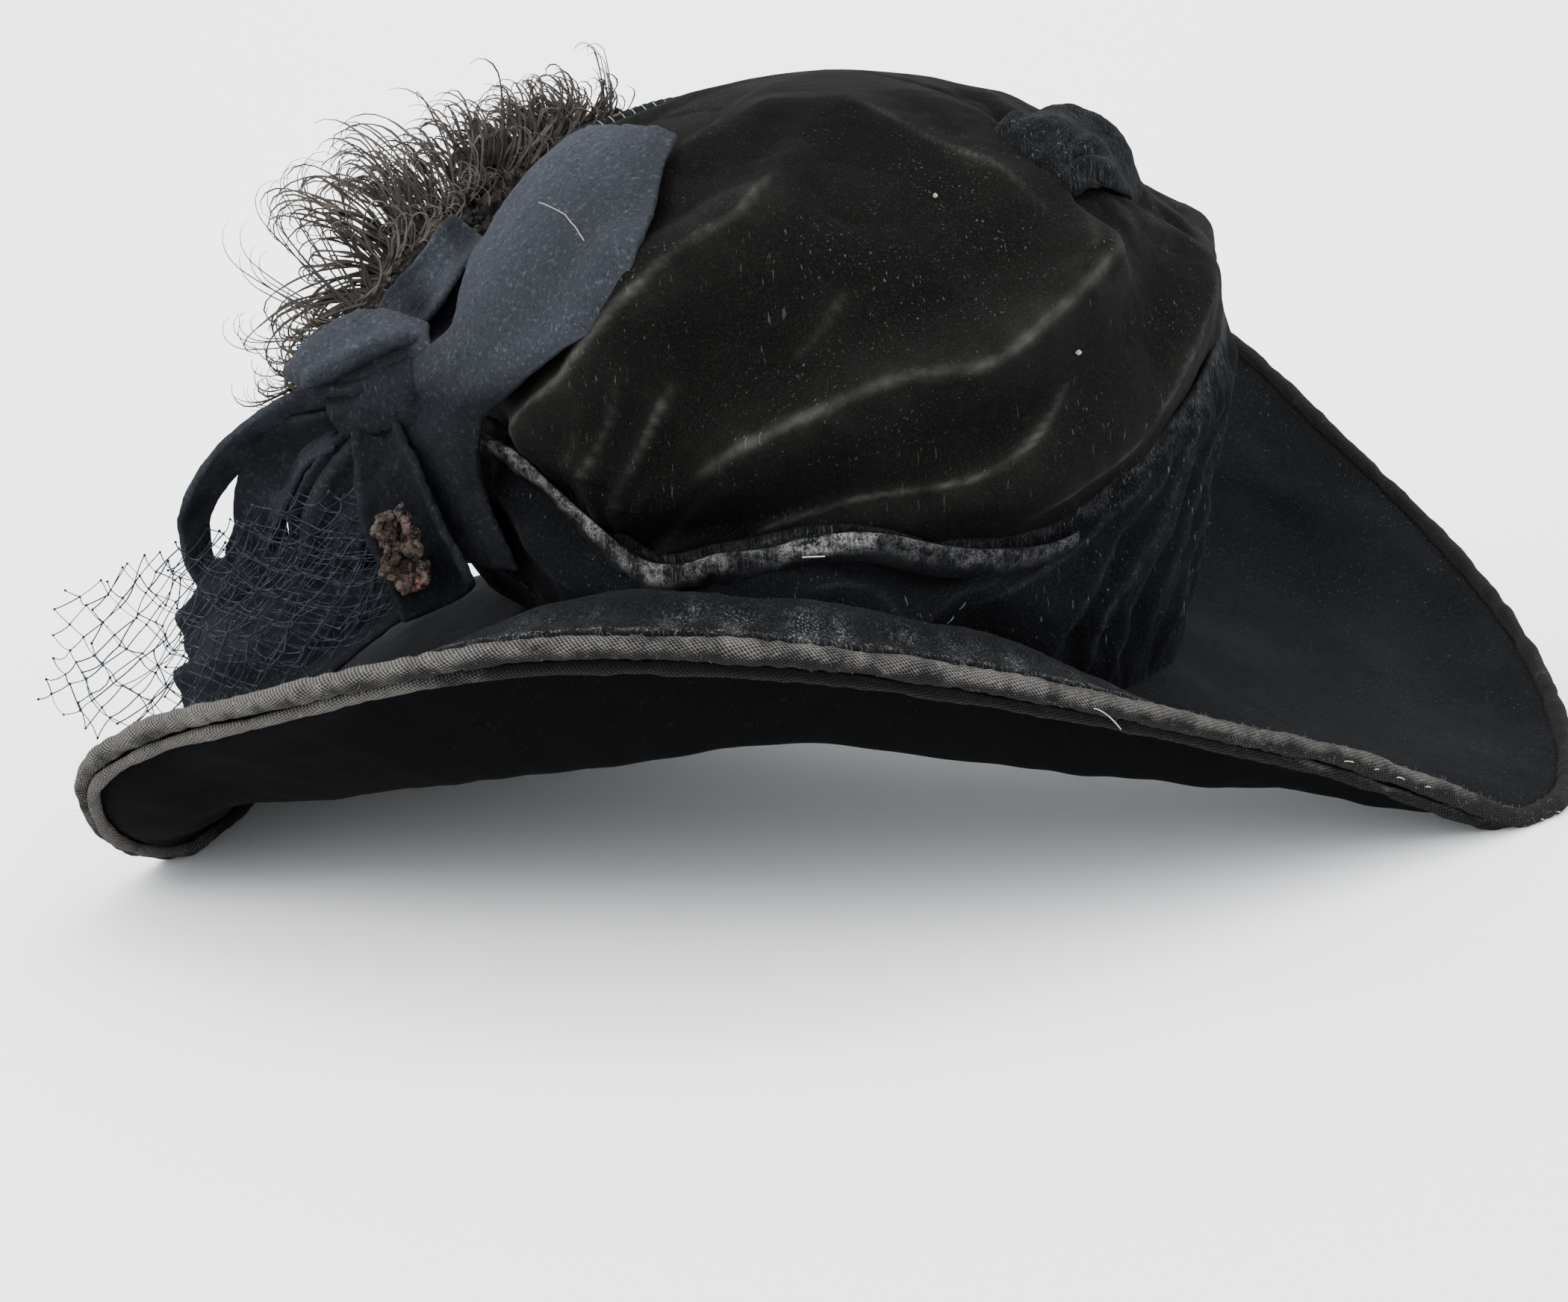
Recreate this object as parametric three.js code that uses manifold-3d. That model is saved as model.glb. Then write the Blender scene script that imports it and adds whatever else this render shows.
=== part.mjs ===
// A wide-brim dress hat of draped velvet, with a felt bow, a plume and a net veil.
// Millimetres, +Z up. The back of the hat faces -Y and the wearer's left is -X.
// The brim is made round the middle of the crown. The finished hat is then moved so that
// the middle of its box is over the origin and its lowest point is at zero.
import * as THREE from "three";
import { mergeVertices } from "three/addons/utils/BufferGeometryUtils.js";
import Module from "manifold-3d";

const wasm = await Module();
wasm.setup();

// Driving dimensions
const CLEARANCE = 0.35;
const headHalfWidth = 97;
const headHalfDepth = 105;
const headHeight = 66;
const headTilt = -0.16;
const brimReach = 245;
const brimRise = 140;
const brimWall = 2.6;
const rollWidth = 13;
const rollRise = 11;
const edgeCordRadius = 3.25;
const underCordRadius = 2;
const restPress = 0.4;
const crownHalfWidth = 117;
const crownHalfDepth = 117;
const crownHeight = 169;
const crownWall = 2.6;
const bandWall = 2.4;
const bandPuff = 9;
const bandGathers = 11;
const hemWidth = 11;
const hemThickness = 3;
const hemDrop = 2;
const feltThickness = 2.2;
const bowSize = 100;
const stemRadius = 3.4;
const plumeReach = 50;
const quillRadius = 2.2;
const veilThickness = 0.8;
const veilStrand = 0.24;
const stapleLength = 6;
const stapleWire = 0.7;
const stapleAzimuth = 264;

// Brim stations round the edge. az is degrees from +X, reach is a share of brimReach, lift is
// the edge cord's height as a share of brimRise, lip is the slope at the edge, roll is how far
// the edge is rolled outward, and dipAt and dip place the lowest or middle point of the section,
// as a share of the way to the edge and as a share of brimRise.
const BRIM_STATIONS = [
  { az: 14, reach: 0.948, lift: 0.27, lip: 0.55, roll: 0, dipAt: 0.5, dip: 0.235 },
  { az: 33, reach: 0.907, lift: 0.61, lip: 0.95, roll: 0, dipAt: 0.46, dip: 0.345 },
  { az: 47, reach: 0.878, lift: 0.886, lip: 1.15, roll: 0, dipAt: 0.45, dip: 0.46 },
  { az: 58, reach: 0.845, lift: 0.97, lip: 1.2, roll: 0, dipAt: 0.45, dip: 0.52 },
  { az: 71, reach: 0.808, lift: 0.91, lip: 1.1, roll: 0, dipAt: 0.45, dip: 0.52 },
  { az: 84, reach: 0.784, lift: 0.7, lip: 0.7, roll: 0, dipAt: 0.45, dip: 0.47 },
  { az: 98, reach: 0.784, lift: 0.41, lip: 0.1, roll: 0, dipAt: 0.45, dip: 0.415 },
  { az: 112, reach: 0.791, lift: 0.155, lip: -0.5, roll: 0, dipAt: 0.5, dip: 0.42 },
  { az: 125, reach: 0.81, lift: 0.012, lip: -0.9, roll: 0, dipAt: 0.5, dip: 0.44 },
  { az: 138, reach: 0.828, lift: 0, lip: -1.3, roll: 0, dipAt: 0.5, dip: 0.46 },
  { az: 154, reach: 0.845, lift: 0.02, lip: -1.4, roll: 0, dipAt: 0.5, dip: 0.47 },
  { az: 170, reach: 0.857, lift: 0.008, lip: -1.4, roll: 0, dipAt: 0.52, dip: 0.46 },
  { az: 179, reach: 0.867, lift: 0, lip: -1.3, roll: 0, dipAt: 0.54, dip: 0.44 },
  { az: 186, reach: 0.905, lift: 0, lip: -0.7, roll: 0, dipAt: 0.58, dip: 0.39 },
  { az: 192, reach: 0.952, lift: 0.07, lip: -0.2, roll: 0, dipAt: 0.64, dip: 0.33 },
  { az: 198, reach: 0.99, lift: 0.2, lip: 0.4, roll: 0, dipAt: 0.7, dip: 0.275 },
  { az: 202, reach: 0.995, lift: 0.335, lip: 0.8, roll: 0, dipAt: 0.71, dip: 0.25 },
  { az: 208, reach: 0.939, lift: 0.444, lip: 0.9, roll: 0.05, dipAt: 0.68, dip: 0.255 },
  { az: 218, reach: 0.878, lift: 0.53, lip: 1, roll: 0.2, dipAt: 0.65, dip: 0.305 },
  { az: 229, reach: 0.816, lift: 0.608, lip: 1, roll: 0.55, dipAt: 0.67, dip: 0.36 },
  { az: 241, reach: 0.764, lift: 0.664, lip: 1, roll: 0.95, dipAt: 0.63, dip: 0.39 },
  { az: 253, reach: 0.724, lift: 0.665, lip: 1, roll: 1, dipAt: 0.58, dip: 0.415 },
  { az: 266, reach: 0.692, lift: 0.629, lip: 1, roll: 1, dipAt: 0.55, dip: 0.418 },
  { az: 280, reach: 0.666, lift: 0.557, lip: 0.9, roll: 1, dipAt: 0.52, dip: 0.36 },
  { az: 295, reach: 0.654, lift: 0.457, lip: 0.8, roll: 0.75, dipAt: 0.55, dip: 0.295 },
  { az: 310, reach: 0.667, lift: 0.345, lip: 0.6, roll: 0.4, dipAt: 0.64, dip: 0.235 },
  { az: 323, reach: 0.705, lift: 0.243, lip: 0.5, roll: 0.15, dipAt: 0.7, dip: 0.18 },
  { az: 333, reach: 0.772, lift: 0.125, lip: 0.3, roll: 0, dipAt: 0.75, dip: 0.13 },
  { az: 342, reach: 0.861, lift: 0, lip: -0.25, roll: 0, dipAt: 0.66, dip: 0.115 },
  { az: 347, reach: 0.905, lift: 0, lip: -0.3, roll: 0, dipAt: 0.6, dip: 0.13 },
  { az: 357, reach: 0.936, lift: 0.057, lip: 0, roll: 0, dipAt: 0.54, dip: 0.175 },
];

// Crown sections from the head line to the top, as shares of the crown's height and half width.
const CROWN_SECTIONS = [
  { rise: 0, spread: 0.86 },
  { rise: 0.1, spread: 0.88 },
  { rise: 0.2, spread: 0.9 },
  { rise: 0.29, spread: 0.93 },
  { rise: 0.38, spread: 0.97 },
  { rise: 0.47, spread: 1 },
  { rise: 0.56, spread: 1 },
  { rise: 0.65, spread: 0.965 },
  { rise: 0.74, spread: 0.88 },
  { rise: 0.82, spread: 0.77 },
  { rise: 0.89, spread: 0.63 },
  { rise: 0.94, spread: 0.47 },
  { rise: 0.975, spread: 0.3 },
  { rise: 0.994, spread: 0.13 },
  { rise: 1, spread: 0 },
];

// Soft folds of the crown, each along a line between two places on it. height is how far the
// fold stands out (or, below zero, sinks in) and width is its half width, both in millimetres.
const CROWN_FOLDS = [
  { az: 226, rise: 0.36, toAz: 240, toRise: 0.66, height: 5, width: 11 },
  { az: 240, rise: 0.66, toAz: 262, toRise: 0.84, height: 5, width: 11 },
  { az: 252, rise: 0.38, toAz: 286, toRise: 0.55, height: 5, width: 11 },
  { az: 286, rise: 0.55, toAz: 318, toRise: 0.74, height: 5, width: 12 },
  { az: 268, rise: 0.27, toAz: 292, toRise: 0.33, height: 4, width: 8 },
  { az: 292, rise: 0.33, toAz: 308, toRise: 0.5, height: 4, width: 9 },
  { az: 236, rise: 0.46, toAz: 268, toRise: 0.66, height: -4, width: 14 },
  { az: 262, rise: 0.34, toAz: 302, toRise: 0.5, height: -3, width: 10 },
  { az: 320, rise: 0.92, toAz: 345, toRise: 0.72, height: -5, width: 9 },
  { az: 20, rise: 0.8, toAz: 70, toRise: 0.7, height: -4, width: 14 },
  { az: 100, rise: 0.62, toAz: 150, toRise: 0.5, height: 4, width: 14 },
];

// Where the draped band ends above the brim, as a share of the crown's height, and how far it
// puffs out there, as a share of bandPuff.
const BAND_TOP = [
  { az: 8, top: 0.6, puff: 0.4 },
  { az: 40, top: 0.52, puff: 0.8 },
  { az: 90, top: 0.4, puff: 1 },
  { az: 140, top: 0.36, puff: 1.1 },
  { az: 185, top: 0.35, puff: 1.5 },
  { az: 205, top: 0.37, puff: 1.6 },
  { az: 218, top: 0.34, puff: 1.3 },
  { az: 228, top: 0.25, puff: 0.9 },
  { az: 238, top: 0.18, puff: 0.7 },
  { az: 250, top: 0.22, puff: 0.8 },
  { az: 268, top: 0.28, puff: 0.9 },
  { az: 282, top: 0.26, puff: 0.9 },
  { az: 300, top: 0.28, puff: 0.9 },
  { az: 315, top: 0.38, puff: 0.8 },
  { az: 335, top: 0.52, puff: 0.5 },
  { az: 350, top: 0.59, puff: 0.3 },
];

// Felt, velvet and net strips. Each row is one section: az in degrees, reach as a share of the
// crown's half width, height as a share of its height above the head line, width as a share of
// bowSize, twist in degrees and cup, how far the middle stands out, as a share of the width.
const FELT_LEAF = [
  { az: 214, reach: 0.57, height: 0.905, width: 0.42, twist: 0, cup: 0.06 },
  { az: 217, reach: 0.69, height: 0.875, width: 0.52, twist: 0, cup: 0.08 },
  { az: 218, reach: 0.83, height: 0.81, width: 0.6, twist: -2, cup: 0.08 },
  { az: 214, reach: 0.98, height: 0.7, width: 0.64, twist: -6, cup: 0.08 },
  { az: 209, reach: 1.05, height: 0.58, width: 0.64, twist: -10, cup: 0.07 },
  { az: 205, reach: 1.13, height: 0.465, width: 0.48, twist: -10, cup: 0.05 },
  { az: 205, reach: 1.18, height: 0.37, width: 0.24, twist: -4, cup: 0.02 },
  { az: 206, reach: 1.17, height: 0.27, width: 0.12, twist: 0, cup: 0.02 },
];
const FELT_STRAP = [
  { az: 188, reach: 1.07, height: 0.76, width: 0.24, twist: 0, cup: 0.08 },
  { az: 192, reach: 1.15, height: 0.69, width: 0.26, twist: 0, cup: 0.1 },
  { az: 195, reach: 1.22, height: 0.61, width: 0.24, twist: 0, cup: 0.1 },
  { az: 196, reach: 1.26, height: 0.53, width: 0.18, twist: 0, cup: 0.1 },
];
const FELT_PETAL = [
  { az: 208, reach: 1.07, height: 0.62, width: 0.16, twist: 0, cup: 0.12 },
  { az: 203, reach: 1.23, height: 0.61, width: 0.2, twist: 0, cup: 0.18 },
  { az: 200, reach: 1.32, height: 0.575, width: 0.19, twist: 0, cup: 0.22 },
  { az: 198, reach: 1.42, height: 0.525, width: 0.05, twist: 0, cup: 0.1 },
];
const FELT_RING_LOOP = [
  { az: 198, reach: 1.29, height: 0.48, width: 0.17, twist: 0, cup: 0.02 },
  { az: 193, reach: 1.47, height: 0.46, width: 0.17, twist: 0, cup: 0.02 },
  { az: 189, reach: 1.66, height: 0.37, width: 0.16, twist: 0, cup: 0.02 },
  { az: 186, reach: 1.77, height: 0.25, width: 0.15, twist: 0, cup: 0.02 },
  { az: 185, reach: 1.75, height: 0.14, width: 0.14, twist: 0, cup: 0.02 },
  { az: 186, reach: 1.65, height: 0.14, width: 0.15, twist: 0, cup: 0.02 },
  { az: 188, reach: 1.56, height: 0.25, width: 0.16, twist: 0, cup: 0.02 },
  { az: 190, reach: 1.45, height: 0.36, width: 0.17, twist: 0, cup: 0.02 },
];
const FELT_SECOND_LOOP = [
  { az: 200, reach: 1.28, height: 0.42, width: 0.16, twist: 0, cup: 0.16 },
  { az: 199, reach: 1.36, height: 0.34, width: 0.24, twist: 0, cup: 0.2 },
  { az: 198, reach: 1.42, height: 0.24, width: 0.26, twist: 0, cup: 0.18 },
  { az: 198, reach: 1.4, height: 0.15, width: 0.18, twist: 0, cup: 0.1 },
];
const FELT_ROLLED_TAIL = [
  { az: 204, reach: 1.31, height: 0.4, width: 0.09, twist: 0, cup: 0.1 },
  { az: 206, reach: 1.31, height: 0.32, width: 0.11, twist: 0, cup: 0.2 },
  { az: 208, reach: 1.3, height: 0.24, width: 0.14, twist: 0, cup: 0.28 },
  { az: 210, reach: 1.28, height: 0.15, width: 0.16, twist: 0, cup: 0.3 },
];
const FELT_BROAD_TAIL = [
  { az: 204, reach: 1.24, height: 0.19, width: 0.18, twist: 0, cup: 0.02 },
  { az: 198, reach: 1.38, height: 0.15, width: 0.34, twist: 0, cup: 0.04 },
  { az: 192, reach: 1.54, height: 0.09, width: 0.46, twist: 0, cup: 0.06 },
  { az: 187, reach: 1.7, height: 0.03, width: 0.46, twist: 0, cup: 0.06 },
  { az: 184, reach: 1.82, height: -0.02, width: 0.34, twist: 0, cup: 0.04 },
];
const CROWN_TUCK = [
  { az: 343, reach: 0.94, height: 0.665, width: 0.16, twist: 0, cup: 0.02 },
  { az: 340, reach: 0.865, height: 0.735, width: 0.3, twist: 0, cup: 0.04 },
  { az: 338, reach: 0.755, height: 0.815, width: 0.36, twist: 0, cup: 0.04 },
  { az: 340, reach: 0.64, height: 0.875, width: 0.36, twist: 0, cup: 0.04 },
  { az: 350, reach: 0.5, height: 0.92, width: 0.28, twist: 0, cup: 0.04 },
];

// Locks of the plume. along is the place on the quill, spread and climb are where the tip goes,
// outward from the crown and up, and back is along the quill, all as shares of plumeReach.
const PLUME_LOCKS = [
  { along: 0.02, spread: 0.5, climb: -0.55, back: 0.5, width: 0.3 },
  { along: 0.04, spread: 0.75, climb: 0.0, back: 0.4, width: 0.34 },
  { along: 0.08, spread: 0.85, climb: 0.45, back: 0.2, width: 0.36 },
  { along: 0.16, spread: 0.7, climb: 0.62, back: 0.1, width: 0.38 },
  { along: 0.27, spread: 0.45, climb: 0.55, back: 0, width: 0.42 },
  { along: 0.38, spread: 0.3, climb: 0.55, back: -0.05, width: 0.42 },
  { along: 0.49, spread: 0.25, climb: 0.52, back: -0.1, width: 0.42 },
  { along: 0.6, spread: 0.22, climb: 0.5, back: -0.1, width: 0.4 },
  { along: 0.71, spread: 0.2, climb: 0.46, back: -0.15, width: 0.38 },
  { along: 0.82, spread: 0.15, climb: 0.38, back: -0.2, width: 0.34 },
  { along: 0.93, spread: 0.1, climb: 0.25, back: -0.3, width: 0.28 },
];
const QUILL = [
  { az: 190, reach: 1.3, height: 0.585 },
  { az: 184, reach: 1.19, height: 0.68 },
  { az: 176, reach: 1.05, height: 0.75 },
  { az: 166, reach: 0.92, height: 0.825 },
  { az: 154, reach: 0.82, height: 0.89 },
  { az: 142, reach: 0.74, height: 0.93 },
];
const STEM = [
  { az: 164, reach: 0.78, height: 0.86 },
  { az: 154, reach: 0.7, height: 0.9 },
  { az: 142, reach: 0.63, height: 0.925 },
  { az: 128, reach: 0.58, height: 0.935 },
];

// The veil's length, from the bow over the tail and out past the brim's edge.
const VEIL_PATH = [
  { az: 206, reach: 1.28, height: 0.27, width: 0.3 },
  { az: 200.5, reach: 1.45, height: 0.195, width: 0.46 },
  { az: 195, reach: 1.63, height: 0.125, width: 0.54 },
  { az: 190, reach: 1.82, height: 0.06, width: 0.58 },
  { az: 186, reach: 2.02, height: 0.02, width: 0.54 },
  { az: 183.5, reach: 2.18, height: 0.02, width: 0.36 },
];
// Ripples of the veil, in waves along and across it, counted in cells.
const VEIL_RIPPLES = [
  { along: 1.9, across: 1.3, height: 1.8 },
  { along: -0.8, across: 2.4, height: 1.4 },
];

// How far the band puffs out from its foot to its top edge, as shares of bandPuff.
const BAND_PROFILE = [0.1, 0.75, 1, 0.6, 0];
// Azimuths of the sections of the band's folded edge.
const HEM_AZIMUTHS = [206, 212, 218, 224, 230, 236, 242, 250, 258, 266, 274, 282, 290, 298];
// The folded edge is full in its middle and thin along its two sides, as shares of its thickness.
const HEM_BULGE = [0.4, 1, 0.4];

// Directions in a brim section, outward and up: the edge where it is fully rolled, and the thin
// cord's place from the thick one there.
const rolledEdge = new THREE.Vector2(0.64, -0.77);
const underRolledEdge = new THREE.Vector2(-0.3, -0.95);
const underCordInset = 1.2;
const crestSlope = 0.5;
const headFlare = 1.1;
const gatherDepth = 0.2;
const lockRise = 0.16;
const lockBack = 0.05;
const lockTip = 0.3;
const veilCellsAlong = 7;
const veilCellsAcross = 4;

// Directions across the strips of the bow, the tail and the veil.
const acrossBack = new THREE.Vector3(0.93, -0.35, 0.1);
const awayFromBack = new THREE.Vector3(-0.4, 0.88, -0.25);
const upTheTail = new THREE.Vector3(-0.1, 0.6, 0.8);
const upThePetal = new THREE.Vector3(0.1, 0.3, 0.95);

const TURN = 360;
const CROWN_AZIMUTHS = 42;
const BRIM_STEPS_PER_STATION = 2;
const BRIM_PROFILE_STEPS = 3;
const up = new THREE.Vector3(0, 0, 1);
const rad = THREE.MathUtils.degToRad;

// The direction away from the crown's middle at an azimuth.
function outward(az) {
  return new THREE.Vector3(Math.cos(rad(az)), Math.sin(rad(az)), 0);
}

// A point at an azimuth, a distance from the crown's middle line and a height.
function polar(az, reach, z) {
  return outward(az).multiplyScalar(reach).setZ(z);
}

function ellipseRadius(az, halfWidth, halfDepth) {
  const c = Math.cos(rad(az)) / halfWidth;
  const s = Math.sin(rad(az)) / halfDepth;
  return 1 / Math.hypot(c, s);
}

// A smooth curve between two values with given slopes, t from 0 to 1.
function hermite(a, slopeA, b, slopeB, t) {
  const t2 = t * t;
  const t3 = t2 * t;
  return a * (2 * t3 - 3 * t2 + 1) + slopeA * (t3 - 2 * t2 + t) +
    b * (3 * t2 - 2 * t3) + slopeB * (t3 - t2);
}

// A column of a table round the hat at any azimuth, smoothly between its rows.
function roundTable(rows, column, az) {
  const n = rows.length;
  const at = (i) => rows[((i % n) + n) % n].az + TURN * Math.floor(i / n);
  const value = (i) => rows[((i % n) + n) % n][column];
  let wrapped = ((az % TURN) + TURN) % TURN;
  if (wrapped < rows[0].az) wrapped += TURN;
  let i = 0;
  while (wrapped >= at(i + 1)) i += 1;
  const span = at(i + 1) - at(i);
  const slope = (j) => (value(j + 1) - value(j - 1)) / (at(j + 1) - at(j - 1));
  const t = (wrapped - at(i)) / span;
  return hermite(value(i), slope(i) * span, value(i + 1), slope(i + 1) * span, t);
}

// A column of a table whose rows are evenly spaced, t from 0 at the first row to 1 at the last.
function evenTable(rows, column, t) {
  const last = rows.length - 1;
  const value = (i) => rows[Math.min(Math.max(i, 0), last)][column];
  const i = Math.min(Math.floor(t * last), last - 1);
  const slope = (j) => (value(j + 1) - value(j - 1)) / 2;
  return hermite(value(i), slope(i), value(i + 1), slope(i + 1), t * last - i);
}

// A closed surface from rings of points. Rings join in a loop, or end in flat caps.
function loft(rings, loops) {
  const size = rings[0].length;
  const positions = rings.flat().flatMap((p) => [p.x, p.y, p.z]);
  const faces = [];
  const joins = loops ? rings.length : rings.length - 1;
  for (let i = 0; i < joins; i += 1) {
    const a = i * size;
    const b = ((i + 1) % rings.length) * size;
    for (let j = 0; j < size; j += 1) {
      const k = (j + 1) % size;
      faces.push(a + j, b + j, b + k, a + j, b + k, a + k);
    }
  }
  if (!loops) {
    [[0, 1], [(rings.length - 1) * size, -1]].forEach(([start, turn]) => {
      for (let j = 1; j < size - 1; j += 1) {
        const pair = turn > 0 ? [start + j, start + j + 1] : [start + j + 1, start + j];
        faces.push(start, ...pair);
      }
    });
  }
  return solid(positions, faces);
}

// A manifold-3d solid that faces outward, from flat lists of positions and corner numbers.
function solid(positions, faces) {
  const geometry = new THREE.BufferGeometry();
  geometry.setAttribute("position", new THREE.Float32BufferAttribute(positions, 3));
  geometry.setIndex(faces);
  const merged = mergeVertices(geometry, 1e-4);
  const triVerts = new Uint32Array(merged.index.array);
  const build = () =>
    new wasm.Manifold(
      new wasm.Mesh({ numProp: 3, vertProperties: merged.attributes.position.array, triVerts }),
    );
  const made = build();
  if (made.volume() > 0) return made;
  for (let i = 0; i < triVerts.length; i += 3) {
    [triVerts[i + 1], triVerts[i + 2]] = [triVerts[i + 2], triVerts[i + 1]];
  }
  return build();
}

// The head line's height at an azimuth: the crown leans a little to the wearer's right.
function headLine(az) {
  return headHeight + headTilt * Math.cos(rad(az)) * ellipseRadius(az, headHalfWidth, headHalfDepth);
}

// The brim's section at an azimuth: its middle line from the head line to the edge, as points
// [distance, height], with the direction of the edge and the middle of the edge cord.
function brimSection(az) {
  const value = (column) => roundTable(BRIM_STATIONS, column, az);
  const roll = Math.min(Math.max(value("roll"), 0), 1);
  const lip = value("lip");
  const flat = new THREE.Vector2(1, lip).normalize();
  const tangent = flat.lerp(rolledEdge, roll).normalize();
  const cordZ = edgeCordRadius - restPress + Math.max(value("lift"), 0) * brimRise;
  const cord = new THREE.Vector2(value("reach") * brimReach, cordZ);
  const edge = cord.clone().addScaledVector(tangent, -(edgeCordRadius + CLEARANCE));
  const crest = new THREE.Vector2(
    edge.x - rollWidth,
    edge.y + rollRise * roll - lip * rollWidth * (1 - roll),
  );
  const head = new THREE.Vector2(ellipseRadius(az, headHalfWidth, headHalfDepth), headLine(az));
  const dip = new THREE.Vector2(
    head.x + (crest.x - head.x) * value("dipAt"),
    value("dip") * brimRise,
  );
  const slopeIn = (dip.y - head.y) / (dip.x - head.x);
  const slopeOut = (crest.y - dip.y) / (crest.x - dip.x);
  const sameWay = slopeIn * slopeOut > 0;
  const slopeDip = sameWay ? (2 * slopeIn * slopeOut) / (slopeIn + slopeOut) : 0;
  const slopeEnd = lip * (1 - roll) + crestSlope * roll;
  const points = [];
  const spans = [
    { from: head, to: dip, start: headFlare * slopeIn, end: slopeDip },
    { from: dip, to: crest, start: slopeDip, end: slopeEnd },
  ];
  spans.forEach(({ from, to, start, end }, part) => {
    const run = to.x - from.x;
    const steps = BRIM_PROFILE_STEPS;
    for (let i = part; i <= steps; i += 1) {
      const t = i / steps;
      points.push(new THREE.Vector2(from.x + run * t, hermite(from.y, start * run, to.y, end * run, t)));
    }
  });
  const bend = edge.clone().addScaledVector(tangent, -rollWidth * 0.5);
  points.push(crest.clone().multiplyScalar(0.25).addScaledVector(bend, 0.5).addScaledVector(edge, 0.25));
  points.push(edge);
  return { points, tangent, cord, roll };
}

// The unit normal of a section's line at a point, up from the brim's upper side.
function sectionNormal(points, i) {
  const a = points[Math.max(i - 1, 0)];
  const b = points[Math.min(i + 1, points.length - 1)];
  return new THREE.Vector2(a.y - b.y, b.x - a.x).normalize();
}

// The azimuths of the brim's rings: each station and the steps between it and the next.
function brimAzimuths() {
  const list = [];
  BRIM_STATIONS.forEach(({ az }, i) => {
    const next = BRIM_STATIONS[(i + 1) % BRIM_STATIONS.length].az;
    const span = (next - az + TURN) % TURN;
    for (let k = 0; k < BRIM_STEPS_PER_STATION; k += 1) {
      list.push(az + (span * k) / BRIM_STEPS_PER_STATION);
    }
  });
  return list;
}

function makeBrim(grow) {
  const half = brimWall / 2 + grow;
  const rings = brimAzimuths().map((az) => {
    const { points, tangent } = brimSection(az);
    const line = points.map((p) => p.clone());
    line[line.length - 1].addScaledVector(tangent, grow);
    line[0].x -= grow;
    const upper = line.map((p, i) => p.clone().addScaledVector(sectionNormal(points, i), half));
    const lower = line.map((p, i) => p.clone().addScaledVector(sectionNormal(points, i), -half));
    lower.forEach((p) => {
      p.y = Math.max(p.y, -grow);
    });
    return [...upper, ...lower.reverse()].map((p) => polar(az, p.x, p.y));
  });
  return loft(rings, true);
}

// The height of the brim's upper side at an azimuth and a distance from the middle.
function brimTop(az, reach) {
  const { points } = brimSection(az);
  let i = 0;
  while (i < points.length - 2 && points[i + 1].x < reach) i += 1;
  const t = (reach - points[i].x) / (points[i + 1].x - points[i].x);
  const slope = (points[i + 1].y - points[i].y) / (points[i + 1].x - points[i].x);
  return points[i].y + slope * t * (points[i + 1].x - points[i].x) + (brimWall / 2) * Math.hypot(1, slope);
}

// A cord that follows the brim's edge, flattened a little where it bears on the table.
function makeEdgeTube(radius, sides, middleOf) {
  const rings = brimAzimuths().map((az) => {
    const middle = middleOf(brimSection(az));
    return Array.from({ length: sides }, (_, k) => {
      const angle = rad((TURN * (k + 0.5)) / sides);
      const x = middle.x + radius * Math.cos(angle);
      return polar(az, x, Math.max(middle.y + radius * Math.sin(angle), 0));
    });
  });
  return loft(rings, true);
}

// The middle of the thin cord, which lies against the thick one. It is under the brim's edge,
// and hangs straight below the thick cord where the edge is rolled outward.
function underCordMiddle({ tangent, cord, roll }) {
  const under = new THREE.Vector2(tangent.y, -tangent.x);
  under.addScaledVector(tangent, -underCordInset);
  const way = under.normalize().lerp(underRolledEdge, roll).normalize();
  return cord.clone().addScaledVector(way, edgeCordRadius + underCordRadius + 2 * CLEARANCE);
}

// How far a place on the crown is from a fold's line, and so how far it stands out there.
function foldHeight(az, rise) {
  const across = rad(1) * crownHalfWidth;
  return CROWN_FOLDS.reduce((sum, fold) => {
    const spanX = (fold.toAz - fold.az) * across;
    const spanY = (fold.toRise - fold.rise) * crownHeight;
    const turn = ((az - fold.az + TURN * 1.5) % TURN) - TURN / 2;
    const x = turn * across;
    const y = (rise - fold.rise) * crownHeight;
    const t = THREE.MathUtils.clamp((x * spanX + y * spanY) / (spanX ** 2 + spanY ** 2), 0, 1);
    const away = Math.hypot(x - spanX * t, y - spanY * t) / fold.width;
    return sum + fold.height * Math.exp(-away * away);
  }, 0);
}

// A point on the crown's outer face, t from 0 at the head line to 1 at the top, moved out.
function crownPoint(az, t, out) {
  const rise = evenTable(CROWN_SECTIONS, "rise", t);
  const spread = Math.max(evenTable(CROWN_SECTIONS, "spread", t), 0);
  const stand = out + foldHeight(az, rise) * Math.min(spread * 1.5, 1);
  const lean = (Math.PI / 2) * Math.min(Math.max((rise - 0.35) / 0.6, 0), 1) ** 1.5;
  const radius = ellipseRadius(az, crownHalfWidth, crownHalfDepth) * spread;
  const base = headLine(az) + brimWall / 2 + CLEARANCE;
  const height = headHeight + crownHeight - base;
  const point = outward(az).multiplyScalar(radius + stand * Math.cos(lean));
  return point.setZ(base + height * rise + stand * Math.sin(lean));
}

// The crown's share from base to top whose height share is rise.
function crownShare(rise) {
  let low = 0;
  let high = 1;
  for (let i = 0; i < 24; i += 1) {
    const middle = (low + high) / 2;
    if (evenTable(CROWN_SECTIONS, "rise", middle) < rise) low = middle;
    else high = middle;
  }
  return (low + high) / 2;
}

const crownSeatHeight = headHeight + crownHeight - 2 * crownWall;

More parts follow.
